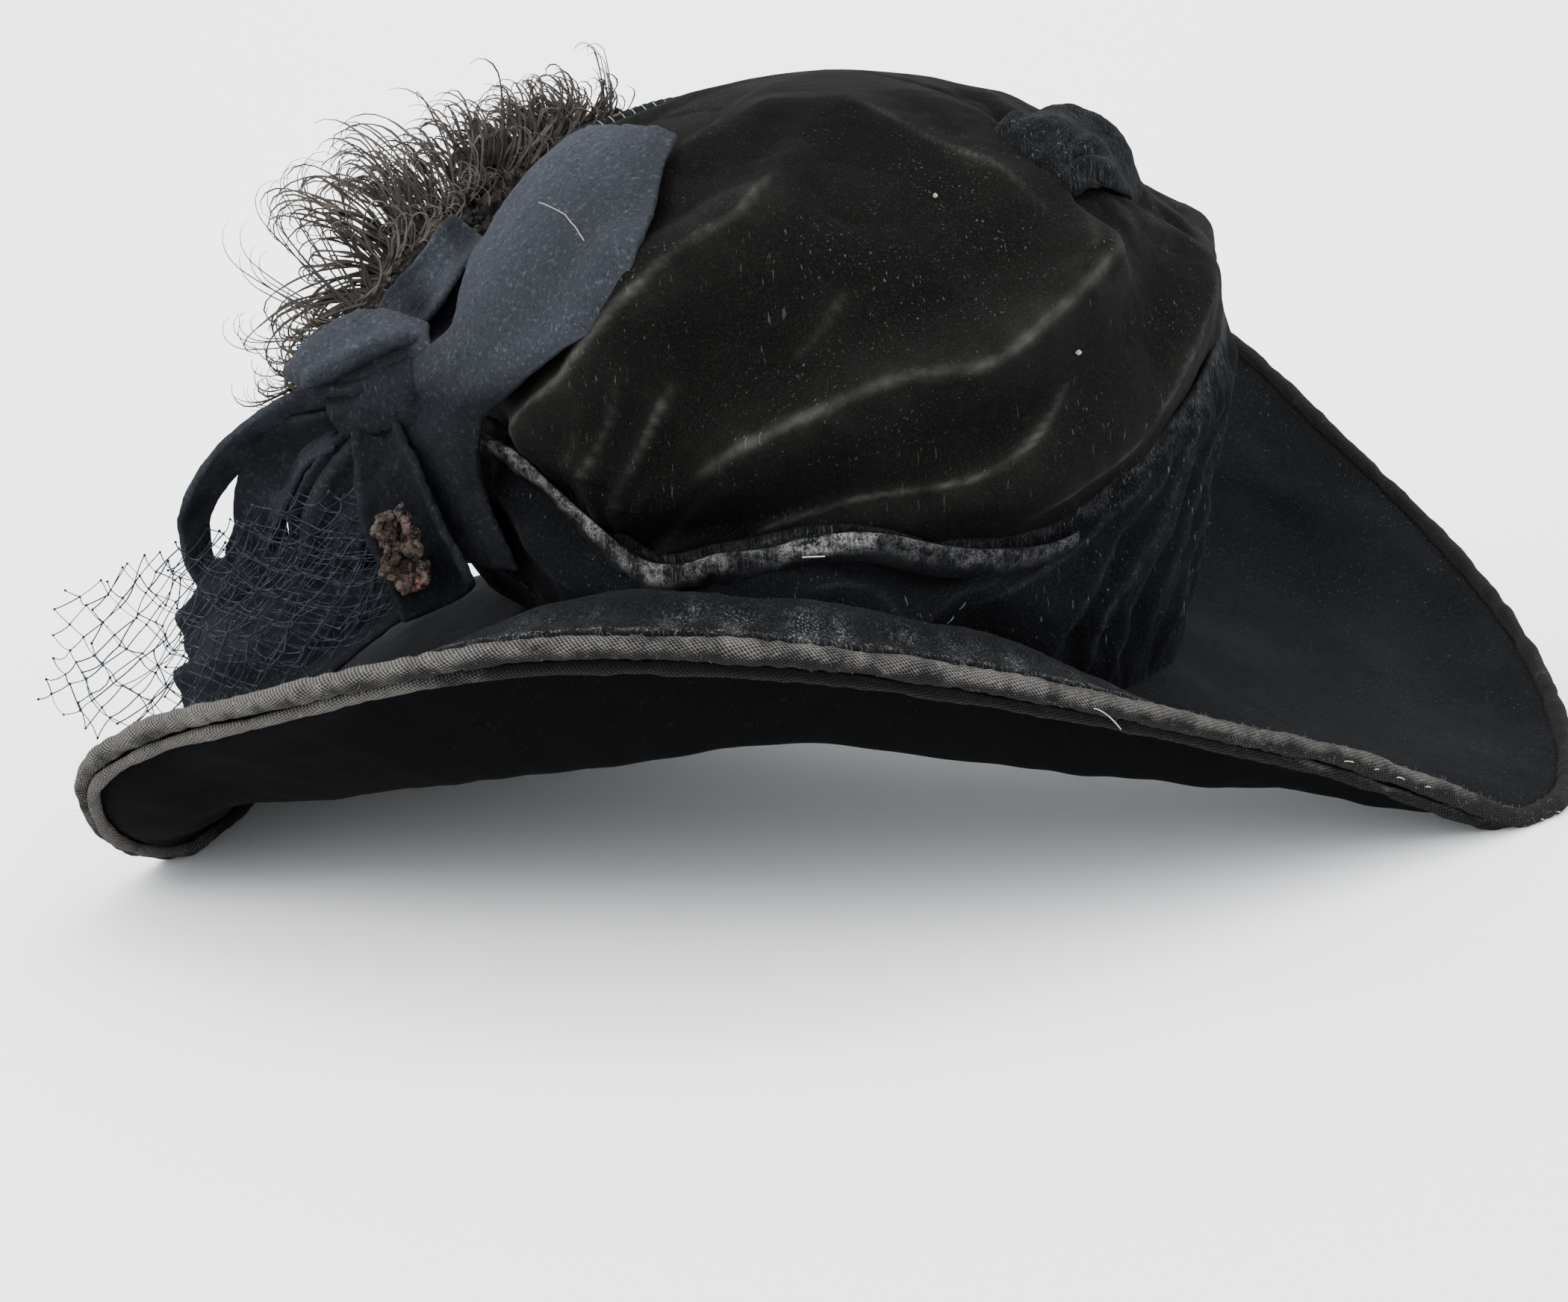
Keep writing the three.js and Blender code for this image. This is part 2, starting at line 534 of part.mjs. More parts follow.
// A dome over the crown's azimuths. Rows run from the base up and the last one is one point.
function domeFaces(rows, start, faces) {
  const n = CROWN_AZIMUTHS;
  const ring = (row, i) => start + row * n + (i % n);
  for (let row = 0; row < rows - 1; row += 1) {
    for (let i = 0; i < n; i += 1) {
      faces.push(ring(row, i), ring(row, i + 1), ring(row + 1, i + 1));
      faces.push(ring(row, i), ring(row + 1, i + 1), ring(row + 1, i));
    }
  }
  const top = start + rows * n;
  for (let i = 0; i < n; i += 1) faces.push(ring(rows - 1, i), ring(rows - 1, i + 1), top);
}

// The crown's wall is a dome outside and one inside, joined at the base. Its inner face is flat
// at the top, where a stand's plate bears. With full set, it is filled, to trim its neighbours.
function makeCrown(grow, full) {
  const rows = CROWN_SECTIONS.length - 1;
  const positions = [];
  const faces = [];
  const azimuths = Array.from({ length: CROWN_AZIMUTHS }, (_, i) => (TURN * i) / CROWN_AZIMUTHS);
  const addDome = (out, flatAt) => {
    for (let row = 0; row <= rows; row += 1) {
      azimuths.slice(0, row === rows ? 1 : undefined).forEach((az) => {
        const p = crownPoint(az, row / rows, out);
        if (row === rows) p.set(0, 0, p.z);
        positions.push(p.x, p.y, Math.min(p.z, flatAt));
      });
    }
  };
  addDome(grow, Infinity);
  domeFaces(rows, 0, faces);
  const inner = positions.length / 3;
  if (full) {
    positions.push(0, 0, headHeight);
    for (let i = 0; i < CROWN_AZIMUTHS; i += 1) {
      faces.push((i + 1) % CROWN_AZIMUTHS, i, inner);
    }
    return solid(positions, faces);
  }
  addDome(-crownWall, crownSeatHeight);
  const innerFaces = [];
  domeFaces(rows, inner, innerFaces);
  for (let i = 0; i < innerFaces.length; i += 3) {
    faces.push(innerFaces[i], innerFaces[i + 2], innerFaces[i + 1]);
  }
  for (let i = 0; i < CROWN_AZIMUTHS; i += 1) {
    const k = (i + 1) % CROWN_AZIMUTHS;
    faces.push(i, inner + k, k, i, inner + i, inner + k);
  }
  return solid(positions, faces);
}

// The draped band round the crown: a wall that puffs out between the brim and its top edge.
function makeBand(grow) {
  const rings = Array.from({ length: CROWN_AZIMUTHS }, (_, i) => {
    const az = (TURN * i) / CROWN_AZIMUTHS;
    const top = crownShare(roundTable(BAND_TOP, "top", az));
    const gather = roundTable(BAND_TOP, "puff", az) + gatherDepth * Math.cos(rad(az * bandGathers));
    const line = (depth) =>
      BAND_PROFILE.map((share, k) => {
        const t = (top * k) / (BAND_PROFILE.length - 1);
        return crownPoint(az, t, 3 * CLEARANCE + depth + bandPuff * gather * share);
      });
    const outer = line(bandWall + grow);
    const inner = line(-grow);
    outer[BAND_PROFILE.length - 1].z += grow;
    [outer[0], inner[0]].forEach((p) => {
      p.z = brimTop(az, Math.hypot(p.x, p.y)) + 3 * CLEARANCE - grow;
    });
    return [...outer, ...inner.reverse()];
  });
  return loft(rings, true);
}

// A strip's points for the rows of a table, placed round the crown.
function besideCrown(rows) {
  return rows.map((row) => {
    const z = headHeight + row.height * crownHeight;
    return polar(row.az, row.reach * crownHalfWidth, z);
  });
}

// Sections along a strip: its middle, side and facing directions, and its table's values. The
// side is at right angles to the crown's outward direction, or else near the given direction.
function stripFrames(rows, points, steps, sideways) {
  const curve = new THREE.CatmullRomCurve3(points, false, "centripetal");
  return Array.from({ length: steps + 1 }, (_, i) => {
    const t = i / steps;
    const middle = curve.getPoint(t);
    const tangent = curve.getTangent(t);
    const away = new THREE.Vector3(middle.x, middle.y, 0).normalize();
    const side = new THREE.Vector3().crossVectors(tangent, away);
    if (sideways) side.copy(sideways).addScaledVector(tangent, -sideways.dot(tangent));
    side.normalize();
    const face = new THREE.Vector3().crossVectors(side, tangent).normalize();
    const twist = rad(evenTable(rows, "twist", t));
    side.applyAxisAngle(tangent, twist);
    face.applyAxisAngle(tangent, twist);
    return { t, middle, tangent, side, face, width: evenTable(rows, "width", t) * bowSize };
  });
}

// A closed cloth strip with a rounded section, cupped across its width.
function makeStrip(rows, steps, sideways, grow) {
  const across = [-0.5, -0.25, 0, 0.25, 0.5];
  const frames = stripFrames(rows, besideCrown(rows), steps, sideways);
  const rings = frames.map(({ t, middle, tangent, side, face, width }, i) => {
    const cup = evenTable(rows, "cup", t) * width;
    const end = i === 0 ? -grow : i === steps ? grow : 0;
    const place = (share, half) => {
      const bow = cup * (1 - 4 * share * share);
      return middle
        .clone()
        .addScaledVector(side, share * (width + 2 * grow))
        .addScaledVector(face, bow + half)
        .addScaledVector(tangent, end);
    };
    const half = feltThickness / 2 + grow;
    return [
      ...across.map((share) => place(share, half)),
      ...across.slice().reverse().map((share) => place(share, -half)),
    ];
  });
  return loft(rings, false);
}

// A round bar along a curve, its radius worked out from how far along it is.
function makeBar(points, steps, sides, radiusAt, grow) {
  const curve = new THREE.CatmullRomCurve3(points, false, "centripetal");
  const frames = curve.computeFrenetFrames(steps, false);
  const rings = frames.tangents.map((tangent, i) => {
    const t = i / steps;
    const end = i === 0 ? -grow : i === steps ? grow : 0;
    return Array.from({ length: sides }, (_, k) => {
      const angle = rad((TURN * k) / sides);
      const radius = radiusAt(t) + grow;
      return curve
        .getPoint(t)
        .addScaledVector(frames.normals[i], radius * Math.cos(angle))
        .addScaledVector(frames.binormals[i], radius * Math.sin(angle))
        .addScaledVector(tangent, end);
    });
  });
  return loft(rings, false);
}

// How far the middle of the folded edge stands off the crown.
const hemStand = CLEARANCE * 4 + bandWall + hemThickness / 2 + bandPuff * 0.35;

// The folded edge along the top of the band at the back.
function makeHem(grow) {
  const thickness = hemThickness / 2 + grow;
  const rings = HEM_AZIMUTHS.map((az, i) => {
    const rise = roundTable(BAND_TOP, "top", az) - hemDrop / crownHeight;
    const lower = rise - hemWidth / crownHeight;
    const taper = i === 0 || i === HEM_AZIMUTHS.length - 1 ? 0.5 : 1;
    const shares = [0, 0.5, 1];
    const place = (share, out) => {
      const point = crownPoint(az, crownShare(lower + (rise - lower) * share), hemStand + out);
      point.z += grow * (2 * share - 1);
      return point;
    };
    return [
      ...shares.map((share, k) => place(share, HEM_BULGE[k] * thickness * taper)),
      ...shares.map((share, k) => place(share, -HEM_BULGE[k] * thickness * taper)).reverse(),
    ];
  });
  return loft(rings, false);
}

// The plume: a bent quill with tapering locks that are fused to it.
function makePlume(grow) {
  const points = besideCrown(QUILL);
  const curve = new THREE.CatmullRomCurve3(points, false, "centripetal");
  const quill = makeBar(points, 8, 6, (t) => quillRadius * (1.3 - 0.6 * t), grow);
  const locks = PLUME_LOCKS.map((lock) => {
    const root = curve.getPoint(lock.along);
    const along = curve.getTangent(lock.along);
    const away = new THREE.Vector3(root.x, root.y, 0).normalize();
    const tip = root
      .clone()
      .addScaledVector(away, lock.spread * plumeReach)
      .addScaledVector(up, lock.climb * plumeReach)
      .addScaledVector(along, -lock.back * plumeReach);
    const bend = root.clone().lerp(tip, 0.5);
    bend.addScaledVector(up, lockRise * plumeReach);
    bend.addScaledVector(along, lockBack * plumeReach);
    const half = (lock.width * plumeReach) / 2;
    const radiusAt = (t) => half * (0.75 + 0.6 * t) * (1 - t * t) + lockTip;
    return makeBar([root, bend, tip], 4, 4, radiusAt, grow);
  });
  return wasm.Manifold.union([quill, ...locks]);
}

// The veil's middle surface, a and b counted in cells along and across it, moved out.
function veilPoint(curve, a, b, out) {
  const t = THREE.MathUtils.clamp(a / veilCellsAlong, 0, 1);
  const middle = curve.getPoint(t);
  const tangent = curve.getTangent(t);
  const side = upTheTail.clone().addScaledVector(tangent, -upTheTail.dot(tangent)).normalize();
  const face = new THREE.Vector3().crossVectors(tangent, side).normalize();
  const width = evenTable(VEIL_PATH, "width", t) * bowSize;
  const share = b / veilCellsAcross - 0.5;
  const ripple = VEIL_RIPPLES.reduce(
    (sum, { along, across, height }) => sum + height * Math.sin(a * along + b * across),
    0,
  );
  return middle.addScaledVector(side, share * width).addScaledVector(face, ripple + out);
}

// The veil is a net of diamond meshes, each one a frame round an open middle. Its cells stand on
// their corners, so that its long edges are zigzags as on a cut net.
function makeVeil() {
  const curve = new THREE.CatmullRomCurve3(besideCrown(VEIL_PATH), false, "centripetal");
  const positions = [];
  const faces = [];
  const quad = (...corners) => {
    const start = positions.length / 3;
    corners.forEach((p) => positions.push(p.x, p.y, p.z));
    faces.push(start, start + 1, start + 2, start, start + 2, start + 3);
  };
  const cells = [];
  for (let a = 1; a < veilCellsAlong * 2; a += 1) {
    for (let b = 1; b < veilCellsAcross * 2; b += 1) {
      if ((a + b) % 2 === 0) cells.push([a / 2, b / 2]);
    }
  }
  const corners = [[-0.5, 0], [0, -0.5], [0.5, 0], [0, 0.5]];
  const sideName = (a, b, k) => {
    const ends = [corners[k], corners[(k + 1) % corners.length]];
    return ends.map(([x, y]) => [a + x, b + y].join(",")).sort().join("|");
  };
  const uses = new Map();
  cells.forEach(([a, b]) => {
    corners.forEach((_, k) => {
      const name = sideName(a, b, k);
      uses.set(name, (uses.get(name) || 0) + 1);
    });
  });
  const hole = 1 - 2 * veilStrand;
  const half = veilThickness / 2;
  cells.forEach(([a, b]) => {
    corners.forEach(([x, y], k) => {
      const [nextX, nextY] = corners[(k + 1) % corners.length];
      const at = (scale, out) => veilPoint(curve, a + x * scale, b + y * scale, out);
      const next = (scale, out) => veilPoint(curve, a + nextX * scale, b + nextY * scale, out);
      quad(at(1, half), next(1, half), next(hole, half), at(hole, half));
      quad(next(1, -half), at(1, -half), at(hole, -half), next(hole, -half));
      quad(at(hole, half), next(hole, half), next(hole, -half), at(hole, -half));
      if (uses.get(sideName(a, b, k)) === 1) {
        quad(next(1, half), at(1, half), at(1, -half), next(1, -half));
      }
    });
  });
  return solid(positions, faces);
}

// A staple's bar that lies across the folded edge of the band.
function makeStaple() {
  const rise = roundTable(BAND_TOP, "top", stapleAzimuth) - (hemDrop + hemWidth / 2) / crownHeight;
  const out = hemStand + hemThickness / 2 + 2 * CLEARANCE + stapleWire;
  const place = crownPoint(stapleAzimuth, crownShare(rise), out);
  const bar = new THREE.BoxGeometry(stapleWire, stapleLength, stapleWire);
  bar.deleteAttribute("normal");
  bar.deleteAttribute("uv");
  bar.rotateZ(rad(stapleAzimuth));
  bar.translate(place.x, place.y, place.z);
  return solid(Array.from(bar.attributes.position.array), Array.from(bar.index.array));
}

// The largest body of a solid, without slivers that a trim has cut off.
function largest(made) {
  return made.decompose().reduce((a, b) => (b.volume() > a.volume() ? b : a));
}

// A solid less the grown forms of the pieces that it lies against.
function trimmed(made, neighbours) {
  return largest(neighbours.reduce((left, other) => left.subtract(other), made));
}

// A named mesh of a solid with its own material.
function mesh(name, made, color, roughness, metalness = 0) {
  const data = made.getMesh();
  const geometry = new THREE.BufferGeometry();
  geometry.setAttribute("position", new THREE.BufferAttribute(data.vertProperties, 3));
  geometry.setIndex(new THREE.BufferAttribute(data.triVerts, 1));
  geometry.computeVertexNormals();
  const piece = new THREE.Mesh(
    geometry,
    new THREE.MeshStandardMaterial({ color, roughness, metalness }),
  );
  piece.name = name;
  return piece;
}

const velvetBlack = 0x15161a;
const crownBrown = 0x1f1b17;
const feltBlue = 0x2a303c;
const cordGrey = 0x5d554f;
const plumeBrown = 0x3a332e;
const stapleSteel = 0xb8b8b4;

const brim = makeBrim(0);
const brimGrown = makeBrim(CLEARANCE);
const crown = makeCrown(0, false);
const crownGrown = makeCrown(CLEARANCE, true);
const edgeCord = makeEdgeTube(edgeCordRadius, 8, ({ cord }) => cord);
const underCord = makeEdgeTube(underCordRadius, 5, underCordMiddle);
const band = trimmed(makeBand(0), [crownGrown]);
const bandGrown = makeBand(CLEARANCE);
const hem = trimmed(makeHem(0), [crownGrown, bandGrown]);

// The strips in the order that they are laid on, each with its steps and the direction of its
// side. Each is trimmed by the grown forms of what lies beneath it.
const strips = [
  { name: "crown_tuck", rows: CROWN_TUCK, steps: 8, color: velvetBlack },
  { name: "felt_leaf", rows: FELT_LEAF, steps: 12, color: feltBlue },
  { name: "felt_broad_tail", rows: FELT_BROAD_TAIL, steps: 8, sideways: upTheTail, color: feltBlue },
  { name: "felt_rolled_tail", rows: FELT_ROLLED_TAIL, steps: 6, sideways: acrossBack, color: feltBlue },
  { name: "felt_second_loop", rows: FELT_SECOND_LOOP, steps: 6, sideways: acrossBack, color: feltBlue },
  { name: "felt_ring_loop", rows: FELT_RING_LOOP, steps: 14, sideways: awayFromBack, color: feltBlue },
  { name: "felt_strap", rows: FELT_STRAP, steps: 6, sideways: acrossBack, color: feltBlue },
  { name: "felt_petal", rows: FELT_PETAL, steps: 6, sideways: upThePetal, color: feltBlue },
];
const beneath = [brimGrown, crownGrown, bandGrown, makeHem(CLEARANCE)];
const stripPieces = strips.map(({ name, rows, steps, sideways, color }) => {
  const piece = trimmed(makeStrip(rows, steps, sideways, 0), beneath);
  beneath.push(makeStrip(rows, steps, sideways, CLEARANCE));
  return mesh(name, piece, color, 1);
});
const stem = trimmed(makeBar(besideCrown(STEM), 8, 8, () => stemRadius, 0), beneath);
beneath.push(makeBar(besideCrown(STEM), 8, 8, () => stemRadius, CLEARANCE));
const plume = trimmed(makePlume(0), beneath);
beneath.push(makePlume(CLEARANCE));
const veil = trimmed(makeVeil(), beneath);

const hat = new THREE.Group();
hat.add(mesh("brim", brim, velvetBlack, 0.9));
hat.add(mesh("edge_cord", edgeCord, cordGrey, 0.95));
hat.add(mesh("under_cord", underCord, velvetBlack, 0.95));
hat.add(mesh("crown", crown, crownBrown, 0.9));
hat.add(mesh("crown_band", band, velvetBlack, 0.9));
hat.add(mesh("band_hem", hem, cordGrey, 0.9));
hat.add(...stripPieces);
hat.add(mesh("staple", makeStaple(), stapleSteel, 0.4, 1));
hat.add(mesh("plume_stem", stem, velvetBlack, 0.9));
hat.add(mesh("plume", plume, plumeBrown, 0.95));
hat.add(mesh("veil", veil, feltBlue, 0.8));

const model = new THREE.Group();
model.add(hat);
const bounds = new THREE.Box3().setFromObject(hat);
const middle = bounds.getCenter(new THREE.Vector3());
hat.position.set(-middle.x, -middle.y, -bounds.min.z);

export default model;
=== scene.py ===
"""The look of a wide-brim hat with a felt bow, a plume and a net veil.

Points are worked out in millimetres round the crown's middle line and moved into the frame."""

import math

import bpy
import numpy as np
from mathutils import Matrix, Vector


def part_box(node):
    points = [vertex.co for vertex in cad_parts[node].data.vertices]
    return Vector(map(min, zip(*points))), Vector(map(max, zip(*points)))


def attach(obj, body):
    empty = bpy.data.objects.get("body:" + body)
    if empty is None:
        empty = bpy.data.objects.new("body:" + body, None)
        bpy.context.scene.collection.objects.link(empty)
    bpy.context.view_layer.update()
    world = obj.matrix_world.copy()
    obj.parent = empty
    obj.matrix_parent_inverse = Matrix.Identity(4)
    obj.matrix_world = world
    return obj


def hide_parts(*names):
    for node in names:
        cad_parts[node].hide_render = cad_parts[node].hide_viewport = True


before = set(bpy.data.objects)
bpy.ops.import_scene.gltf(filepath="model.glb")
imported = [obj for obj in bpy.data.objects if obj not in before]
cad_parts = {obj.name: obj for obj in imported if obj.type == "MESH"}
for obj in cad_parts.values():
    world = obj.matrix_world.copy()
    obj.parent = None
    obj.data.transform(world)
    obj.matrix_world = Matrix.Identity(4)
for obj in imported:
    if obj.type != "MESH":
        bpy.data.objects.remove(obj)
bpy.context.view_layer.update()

# The hat's driving dimensions in millimetres, as in the part's source.
GAP = 0.35
HEAD_WIDE, HEAD_DEEP, HEAD_HIGH, HEAD_TILT = 97, 105, 66, -0.16
BRIM_REACH, BRIM_RISE, BRIM_WALL = 245, 140, 2.6
ROLL_WIDE, ROLL_RISE = 13, 11
EDGE_R, UNDER_R, PRESS = 3.25, 2.0, 0.4
CROWN_WIDE, CROWN_DEEP, CROWN_HIGH = 117, 117, 169
BAND_WALL, BAND_PUFF, BAND_GATHERS = 2.4, 9, 11
HEM_WIDE, HEM_THICK, HEM_DROP = 11, 3, 2
BOW, STEM_R = 100, 3.4
# Steps of brim_line from the head line to the dip, to the crest and over the roll, and how many
# of its columns lie before the edge bends over.
BRIM_STEPS, BEFORE_BEND = (22, 26, 12), 50
ROLL_WAY = np.array([0.64, -0.77])  # which way the fully rolled edge points, out and down
LOWEST = 0.1  # how far the look stays above the table


def table(columns, rows):
    return dict(zip(columns.split(), np.array(rows, float).T))


# The brim round the hat: reach and lift are the edge's distance and height, lip its slope and roll how
# far it turns over; dip_at and dip are where the trough lies and how high.
BRIM = table(
    "az reach lift lip roll dip_at dip",
    [
        (14, 0.948, 0.27, 0.55, 0, 0.5, 0.235), (33, 0.907, 0.61, 0.95, 0, 0.46, 0.345),
        (47, 0.878, 0.886, 1.15, 0, 0.45, 0.46), (58, 0.845, 0.97, 1.2, 0, 0.45, 0.52),
        (71, 0.808, 0.91, 1.1, 0, 0.45, 0.52), (84, 0.784, 0.7, 0.7, 0, 0.45, 0.47),
        (98, 0.784, 0.41, 0.1, 0, 0.45, 0.415), (112, 0.791, 0.155, -0.5, 0, 0.5, 0.42),
        (125, 0.81, 0.012, -0.9, 0, 0.5, 0.44), (138, 0.828, 0, -1.3, 0, 0.5, 0.46),
        (154, 0.845, 0.02, -1.4, 0, 0.5, 0.47), (170, 0.857, 0.008, -1.4, 0, 0.52, 0.46),
        (179, 0.867, 0, -1.3, 0, 0.54, 0.44), (186, 0.905, 0, -0.7, 0, 0.58, 0.39),
        (192, 0.952, 0.07, -0.2, 0, 0.64, 0.33), (198, 0.99, 0.2, 0.4, 0, 0.7, 0.275),
        (202, 0.995, 0.335, 0.8, 0, 0.71, 0.25), (208, 0.939, 0.444, 0.9, 0.05, 0.68, 0.255),
        (218, 0.878, 0.53, 1, 0.2, 0.65, 0.305), (229, 0.816, 0.608, 1, 0.55, 0.67, 0.36),
        (241, 0.764, 0.664, 1, 0.95, 0.63, 0.39), (253, 0.724, 0.665, 1, 1, 0.58, 0.415),
        (266, 0.692, 0.629, 1, 1, 0.55, 0.418), (280, 0.666, 0.557, 0.9, 1, 0.52, 0.36),
        (295, 0.654, 0.457, 0.8, 0.75, 0.55, 0.295), (310, 0.667, 0.345, 0.6, 0.4, 0.64, 0.235),
        (323, 0.705, 0.243, 0.5, 0.15, 0.7, 0.18), (333, 0.772, 0.125, 0.3, 0, 0.75, 0.13),
        (342, 0.861, 0, -0.25, 0, 0.66, 0.115), (347, 0.905, 0, -0.3, 0, 0.6, 0.13),
        (357, 0.936, 0.057, 0, 0, 0.54, 0.175),
    ],
)
# The crown's side view, as shares of its height and half width.
CROWN = table(
    "rise spread",
    [
        (0, 0.86), (0.1, 0.88), (0.2, 0.9), (0.29, 0.93), (0.38, 0.97), (0.47, 1), (0.56, 1), (0.65, 0.965),
        (0.74, 0.88), (0.82, 0.77), (0.89, 0.63), (0.94, 0.47), (0.975, 0.3), (0.994, 0.13), (1, 0),
    ],
)
# How high the band's upper edge stands as a share of the crown, and how much the band puffs.
BAND_TOP = table(
    "az top puff",
    [
        (8, 0.6, 0.4), (40, 0.52, 0.8), (90, 0.4, 1), (140, 0.36, 1.1), (185, 0.35, 1.5), (205, 0.37, 1.6),
        (218, 0.34, 1.3), (228, 0.25, 0.9), (238, 0.18, 0.7), (250, 0.22, 0.8), (268, 0.28, 0.9),
        (282, 0.26, 0.9), (300, 0.28, 0.9), (315, 0.38, 0.8), (335, 0.52, 0.5), (350, 0.59, 0.3),
    ],
)


def hermite(a, slope_a, b, slope_b, t):
    t2, t3 = t * t, t * t * t
    ends = a * (2 * t3 - 3 * t2 + 1) + slope_a * (t3 - 2 * t2 + t)
    return ends + b * (3 * t2 - 2 * t3) + slope_b * (t3 - t2)


def round_table(rows, column, az):
    """A column of a table round the hat at any azimuth, smoothly between its rows."""
    at, value = rows["az"], rows[column]
    at = np.concatenate([at[-2:] - 360, at, at[:3] + 360])
    value = np.concatenate([value[-2:], value, value[:3]])
    turned = (np.asarray(az, float) - rows["az"][0]) % 360 + rows["az"][0]
    i = np.clip(np.searchsorted(at, turned, side="right") - 1, 1, len(at) - 3)
    span = at[i + 1] - at[i]

    def slope(j):
        return (value[j + 1] - value[j - 1]) / (at[j + 1] - at[j - 1])

    return hermite(value[i], slope(i) * span, value[i + 1], slope(i + 1) * span, (turned - at[i]) / span)


def even_table(value, t):
    """A smooth curve through evenly spaced values, t from 0 at the first to 1 at the last."""
    last = len(value) - 1
    padded = np.concatenate([value[:1], value, value[-1:]])
    x = np.clip(t, 0, 1) * last
    i = np.minimum(np.floor(x).astype(int), last - 1)
    slope_a = (padded[i + 2] - padded[i]) / 2
    slope_b = (padded[i + 3] - padded[i + 1]) / 2
    return hermite(padded[i + 1], slope_a, padded[i + 2], slope_b, x - i)


def ellipse(az, wide, deep):
    return 1 / np.hypot(np.cos(np.radians(az)) / wide, np.sin(np.radians(az)) / deep)


def head_line(az):
    return HEAD_HIGH + HEAD_TILT * np.cos(np.radians(az)) * ellipse(az, HEAD_WIDE, HEAD_DEEP)


def unit(v):
    """Vectors of length one."""
    return v / np.maximum(np.linalg.norm(v, axis=-1, keepdims=True), 1e-9)


def polar(az, reach, z):
    """Points at an azimuth in degrees, a distance from the middle line and a height."""
    az = np.radians(az)
    return np.stack(np.broadcast_arrays(reach * np.cos(az), reach * np.sin(az), z), -1)


def brim_edge(az):
    """The edge's direction, the thick cord's middle and the roll at each azimuth."""
    roll = np.clip(round_table(BRIM, "roll", az), 0, 1)
    lip = round_table(BRIM, "lip", az)
    flat = unit(np.stack([np.ones_like(lip), lip], -1))
    tangent = unit(flat * (1 - roll[:, None]) + ROLL_WAY * roll[:, None])
    high = EDGE_R - PRESS + np.maximum(round_table(BRIM, "lift", az), 0) * BRIM_RISE
    cord = np.stack([round_table(BRIM, "reach", az) * BRIM_REACH, high], -1)
    return tangent, cord, roll, lip


def brim_line(az):
    """The brim's middle line from the head line to the edge at each azimuth, as [distance, height]."""
    inner, outer, turn = BRIM_STEPS
    tangent, cord, roll, lip = brim_edge(az)
    edge = cord - tangent * (EDGE_R + GAP)
    crest_high = edge[:, 1] + ROLL_RISE * roll - lip * ROLL_WIDE * (1 - roll)
    crest = np.stack([edge[:, 0] - ROLL_WIDE, crest_high], -1)
    head = np.stack([ellipse(az, HEAD_WIDE, HEAD_DEEP), head_line(az)], -1)
    dip_x = head[:, 0] + (crest[:, 0] - head[:, 0]) * round_table(BRIM, "dip_at", az)
    dip = np.stack([dip_x, round_table(BRIM, "dip", az) * BRIM_RISE], -1)
    into = (dip[:, 1] - head[:, 1]) / (dip[:, 0] - head[:, 0])
    out = (crest[:, 1] - dip[:, 1]) / (crest[:, 0] - dip[:, 0])
    same = into * out > 0
    level = np.where(same, 2 * into * out / np.where(same, into + out, 1), 0)
    end = lip * (1 - roll) + 0.5 * roll
    parts = []
    for a, b, start, stop, n in ((head, dip, 1.1 * into, level, inner), (dip, crest, level, end, outer)):
        t = np.arange(n)[None, :] / n
        run = (b[:, 0] - a[:, 0])[:, None]
        x = a[:, :1] + run * t
        y = hermite(a[:, 1:], start[:, None] * run, b[:, 1:], stop[:, None] * run, t)
        parts.append(np.stack([x, y], -1))
    bend = edge - tangent * ROLL_WIDE * 0.5
    t = (np.arange(turn + 1) / turn)[None, :, None]
    parts.append(crest[:, None] * (1 - t) ** 2 + bend[:, None] * 2 * t * (1 - t) + edge[:, None] * t * t)
    return np.concatenate(parts, 1)


def line_normals(line):
    """The upward normals of lines given as rows of [distance, height]."""
    d = np.empty_like(line)
    d[:, 1:-1] = line[:, 2:] - line[:, :-2]
    d[:, 0] = line[:, 1] - line[:, 0]
    d[:, -1] = line[:, -1] - line[:, -2]
    return unit(np.stack([-d[..., 1], d[..., 0]], -1))


def fold_height(az, rise, folds):
    """The height of straight folds: from azimuth and rise, to azimuth and rise, height and reach."""
    total = np.zeros(np.broadcast(az, rise).shape)
    across = math.radians(1) * CROWN_WIDE
    for a, r, b, s, high, wide in folds:
        span_x, span_y = (b - a) * across, (s - r) * CROWN_HIGH
        x = ((az - a + 540) % 360 - 180) * across
        y = (rise - r) * CROWN_HIGH
        t = np.clip((x * span_x + y * span_y) / (span_x**2 + span_y**2), 0, 1)
        away = np.hypot(x - span_x * t, y - span_y * t) / wide
        total = total + high * np.exp(-away * away)
    return total


SOLID_FOLDS = [
    (226, 0.36, 240, 0.66, 5, 11),
    (240, 0.66, 262, 0.84, 5, 11),
    (252, 0.38, 286, 0.55, 5, 11),
    (286, 0.55, 318, 0.74, 5, 12),
    (268, 0.27, 292, 0.33, 4, 8),
    (292, 0.33, 308, 0.5, 4, 9),
    (236, 0.46, 268, 0.66, -4, 14),
    (262, 0.34, 302, 0.5, -3, 10),
    (320, 0.92, 345, 0.72, -5, 9),
    (20, 0.8, 70, 0.7, -4, 14),
    (100, 0.62, 150, 0.5, 4, 14),
]


